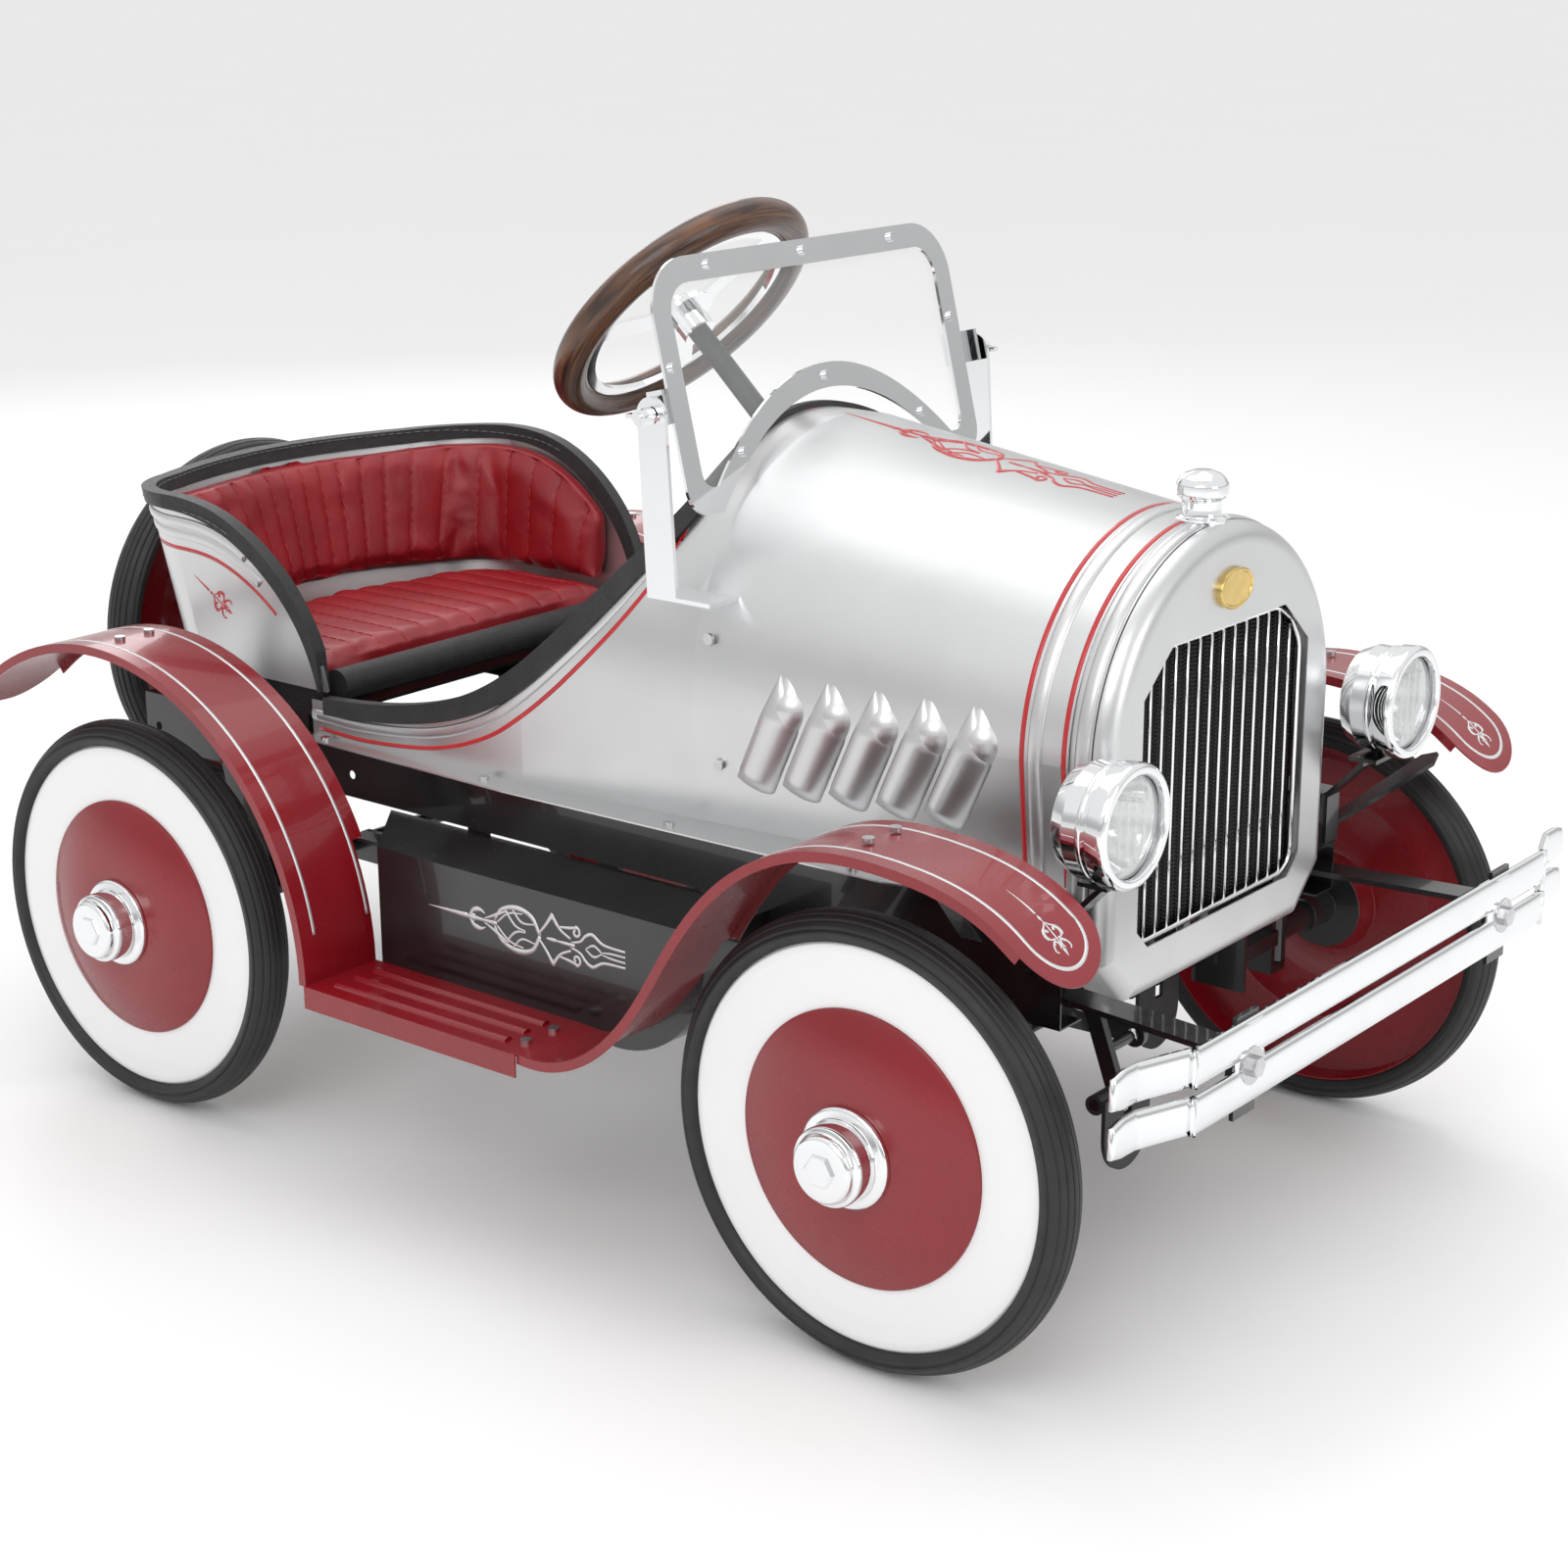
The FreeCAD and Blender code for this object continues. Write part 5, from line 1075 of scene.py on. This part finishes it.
def rear_fender_path():
    """Crest of a rear fender from its tail to the running board: (point, normal)."""
    out = []
    for degrees in np.arange(139, -0.5, -1.5):
        a = math.radians(degrees)
        n = Vector((math.cos(a), 0, math.sin(a)))
        out.append((REAR_WHEEL + n * REAR_FENDER_RADIUS, n))
    return out


def fender_trim():
    """Line round the edges of each fender and the ornament on each front fender's nose."""
    crests = ((surface("front_fenders"), fender_path(10), 0.46),
              (surface("rear_fenders"), rear_fender_path(), 0.50))
    lines = [strip_on("line", tree, looped_line(crest, side, LINE_START, end), LINE_WIDTH, SILVER_LINE)
             for side, _ in SIDES for tree, crest, end in crests]
    riding(join("fender_silver_lines", lines), "chassis")
    front, path, _ = crests[0]
    steps = walk(path)
    _, look = at_distance(path, steps, 0.055)
    marks = []
    for side, _ in SIDES:
        def place(u, v, side=side):
            p, n = at_distance(path, steps, 0.070 - u)
            return Vector((p.x, side * (FENDER_MIDDLE_Y + v), p.z)) + n * LIFT
        marks.append(ornament("mark", front, spear_scroll(), 0.00095, place, -look, SILVER_LINE))
    riding(join("fender_ornaments", marks), "chassis")


def painted_scrolls():
    """Ornaments on the tool boxes, the seat tub and the hood."""
    box, tub = surface("side_boxes"), surface("seat_tub")
    tilt = math.radians(-33)
    silver, red = [], []
    for side, _ in SIDES:
        def on_box(u, v, side=side):
            return AXLE_X - 0.433 + u, side * REACH, 0.2125 + v

        def on_tub(u, v, side=side):
            x = AXLE_X - 0.744 + u * math.cos(tilt) - v * math.sin(tilt)
            return x, side * REACH, 0.404 + u * math.sin(tilt) + v * math.cos(tilt)

        inward = (0, -side, 0)
        silver.append(ornament("scroll", box, long_scroll(), 0.00128, on_box, inward, SILVER_LINE))
        red.append(ornament("crest", tub, spear_scroll(), 0.00105, on_tub, inward, RED_LINE))
    riding(join("box_ornaments", silver), "chassis")
    riding(join("seat_ornaments", red), "chassis")
    crest = ornament("hood_ornament", BODY, long_scroll(), 0.00155,
                     lambda u, v: (AXLE_X - 0.243 + u, v, 0.8), (0, 0, -1), RED_LINE)
    riding(crest, "chassis")


# ---- grille, lamps and badge --------------------------------------------------------------------
GRILLE_HALF, GRILLE_TOP, GRILLE_BOTTOM = 0.1045, 0.4485, 0.2515
GRILLE_FLAT = 0.071             # half width of the straight part of the grille's top
GRILLE_BARS = 13
RIM_WIRE = 0.0042
BAR_WIRE = 0.0026
FLUTES = 26
FLUTE_STEPS = 8
BACKING_HALF = 0.108
LAMP_Y, LAMP_Z = 0.184, 0.364
# rows of the lamps in millimetres: the drum from the front axle, the others from the lens's back
DRUM = ((0.0, 78.0, 0), (23.6, 78.0, 0), (34.0, 84.0, 0), (38.0, 94.0, 0), (38.0, 104.4, 0),
        (38.7, 105.0, 0), (38.7, 107.0, 0), (38.0, 107.6, 0), (38.0, 112.2, 0), (40.8, 112.6, 0),
        (41.0, 122.4, 0), (40.2, 124.6, 0), (38.2, 126.0, 0), (34.4, 126.0, 0), (33.0, 124.8, 0),
        (33.0, 122.2, 0), (35.0, 118.0, 0), (35.0, 95.0, 0), (32.0, 86.0, 0), (23.0, 80.6, 0),
        (0.0, 80.6, 0))
DISH = ((4.0, -30.0, 0), (14.0, -25.0, 0), (24.0, -16.0, 0), (31.0, -6.0, 0), (33.0, -1.0, 0),
        (33.8, -1.0, 0), (31.8, -7.0, 0), (24.6, -17.5, 0), (14.4, -26.5, 0), (4.0, -31.6, 0))
BULB = ((0.0, -6.0, 0), (3.5, -7.5, 0), (5.0, -12.0, 0), (4.5, -18.0, 0), (3.5, -22.0, 1),
        (3.5, -31.0, 1))
LENS_RIBS = (-0.0145, -0.005, 0.0045, 0.014)
CAP_ROWS = ((0.0, 510.0, 0), (17.0, 510.0, 0), (17.0, 518.0, 0), (17.2, 519.5, 0),
            (13.4, 521.0, 0), (13.0, 526.0, 0), (13.4, 532.0, 0), (16.0, 533.5, 0),
            (17.6, 536.0, 0), (17.6, 542.5, 0), (15.0, 546.5, 0), (12.0, 549.0, 0),
            (6.2, 551.2, 0), (0.0, 551.6, 0))


def round_wire(width):
    angles = np.linspace(0, 2 * math.pi, 9)[:-1]
    return [(0.5 * math.cos(a), 0.5 * math.sin(a) * width) for a in angles]


def grille_front():
    """Bright frame with a cut-off top, and the bars across it."""
    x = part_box("grille")[1].x - 0.003
    half, top, bottom = GRILLE_HALF, GRILLE_TOP, GRILLE_BOTTOM
    outline = [(GRILLE_FLAT, top), (half - 0.012, top - 0.012), (half, top - 0.032),
               (half, bottom + 0.013), (half - 0.004, bottom + 0.004), (half - 0.013, bottom)]
    outline += [(-y, z) for y, z in reversed(outline)]
    loop = [(Vector((x, y, z)), FORWARD) for y, z in smooth_corners(outline, 0.006)]
    pieces = [band("rim", loop, [RIM_WIRE] * len(loop), CHROME, round_wire(RIM_WIRE), closed=True)]
    for index in range(GRILLE_BARS):
        y = (index - (GRILLE_BARS - 1) / 2) * 2 * half / (GRILLE_BARS + 1)
        cut = max(0.0, abs(y) - GRILLE_FLAT) / (half - GRILLE_FLAT)
        foot = bottom + 0.0004 + (0.004 if abs(y) > half - 0.012 else 0)
        line = [(Vector((x, y, z)), FORWARD) for z in np.linspace(foot, top - 0.034 * cut ** 1.3, 5)]
        pieces.append(band("bar", line, [BAR_WIRE] * 5, CHROME, round_wire(BAR_WIRE)))
    front = join("grille_bars", pieces)
    riding(front, "chassis")
    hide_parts("grille")
    grille_backing(x - 0.0045)


def grille_backing(x):
    """Fluted sheet of wire mesh behind the bars."""
    ends = (GRILLE_BOTTOM - 0.004, GRILLE_TOP + 0.004)
    verts = []
    for k in range(FLUTES * FLUTE_STEPS + 1):
        y = BACKING_HALF * (2 * k / (FLUTES * FLUTE_STEPS) - 1)
        front = x + 0.0011 * math.sin(2 * math.pi * k / FLUTE_STEPS)
        verts += [(front, y, ends[0]), (front, y, ends[1]),
                  (front - 0.001, y, ends[1]), (front - 0.001, y, ends[0])]
    faces = tube_faces(0, FLUTES * FLUTE_STEPS + 1, 4)
    riding(faces_out(new_mesh("grille_backing", verts, faces, [MESH])), "chassis")


def ribbed_glass(centre, back, front):
    """Lens with four upright ribs on its face."""
    rows = [(0.0, back, 0), (0.033, back, 0), (0.034, front - 0.002, 0), (0.030, front - 0.0004, 0),
            (0.0, front, 0)]
    pieces = [lathe("glass", rows, centre, FORWARD, [LENS], 72, 0.0008)]
    for offset in LENS_RIBS:
        reach = math.sqrt(0.025 ** 2 - offset ** 2)
        line = [(Vector((front - 0.0005, centre.y + offset, centre.z + z)), FORWARD)
                for z in np.linspace(-reach, reach, 9)]
        sizes = [0.0016] + [0.0032] * 7 + [0.0016]
        pieces.append(band("rib", line, sizes, LENS, rounded_section(0.0016)))
    return pieces


def headlamps():
    """Each lamp's drum, reflector, bulb and ribbed lens."""
    low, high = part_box("headlight_lenses")
    for side, label in SIDES:
        middle = Vector((0, side * LAMP_Y, LAMP_Z))
        behind = middle + FORWARD * low.x
        reflector = lathe("reflector_" + label, millimetres(DISH), behind, FORWARD, [CHROME], 72, 0, True)
        riding(reflector, "chassis")
        drum = lathe("drum_" + label, millimetres(DRUM), middle + FORWARD * AXLE_X, FORWARD, [CHROME],
                     128, 0.0006)
        riding(drum, "chassis")
        bulb = lathe("bulb_" + label, millimetres(BULB), behind, FORWARD, [WHITE, BRASS], 32, 0.0006)
        riding(bulb, "chassis")
        glass = join("ribbed_lens_" + label, ribbed_glass(middle, low.x, high.x))
        riding(glass, "chassis")
        if side > 0:
            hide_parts("headlight_housings")
            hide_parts("headlight_lenses")


def filler_cap():
    turned = lathe("filler_cap", millimetres(CAP_ROWS), Vector((AXLE_X + 0.054, 0, 0)),
                   Vector((0, 0, 1)), [CHROME], 96, 0.0008)
    riding(turned, "chassis")
    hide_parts("radiator_cap")


def badge():
    """Raised rim round the plain oval badge."""
    low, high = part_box("emblem")
    middle = (low + high) / 2
    half = (high - low) / 2
    steps = 64
    spots = []
    for k in range(steps):
        a = 2 * math.pi * k / steps
        spots.append((Vector((high.x - 0.0004, middle.y + (half.y - 0.0016) * math.cos(a),
                              middle.z + (half.z - 0.0016) * math.sin(a))), FORWARD))
    rim = band("badge_rim", spots, [0.0028] * steps, BRASS, rounded_section(0.0013), closed=True)
    riding(rim, "chassis")


# ---- build ------------------------------------------------------------------------------------
make_camera()
repaint(SILVER, "body_shell", "radiator_shell", "seat_tub")
repaint(RED, "front_fenders", "rear_fenders", "running_boards")
repaint(BLACK, "chassis_frame", "rear_hangers", "axle_brackets", "fender_braces",
        "column_bearings", "seat_pan", "side_boxes", "headlight_brackets", "bumper_arms",
        "pedal_pivot_rod", "spare_bracket", "spindle_left", "spindle_right", "tie_rod",
        "crank_axle", "push_rod_left", "push_rod_right", "pedal_arm_left", "pedal_arm_right")
repaint(RUBBER, "pedal_pad_left", "pedal_pad_right")
repaint(STEEL, "steering_column")
repaint(CHROME, "windshield_posts", "windshield_frame", "steering_spokes", "wing_nut_left",
        "wing_nut_right")
repaint(ZINC, "fasteners")
repaint(BRASS, "emblem")
repaint(BLACK_VINYL, "body_piping", "seat_piping")
repaint(PANE, "windshield_pane")
repaint(WOOD, "steering_rim")
make_studio()
road_wheels()
spare_wheel()
seat_pad = cushion()
seam_stitches(seat_back(), seat_pad)
seat_stitches()
body_trim()
tub_trim()
louvres()
bumper()
fender_trim()
painted_scrolls()
grille_front()
headlamps()
filler_cap()
badge()
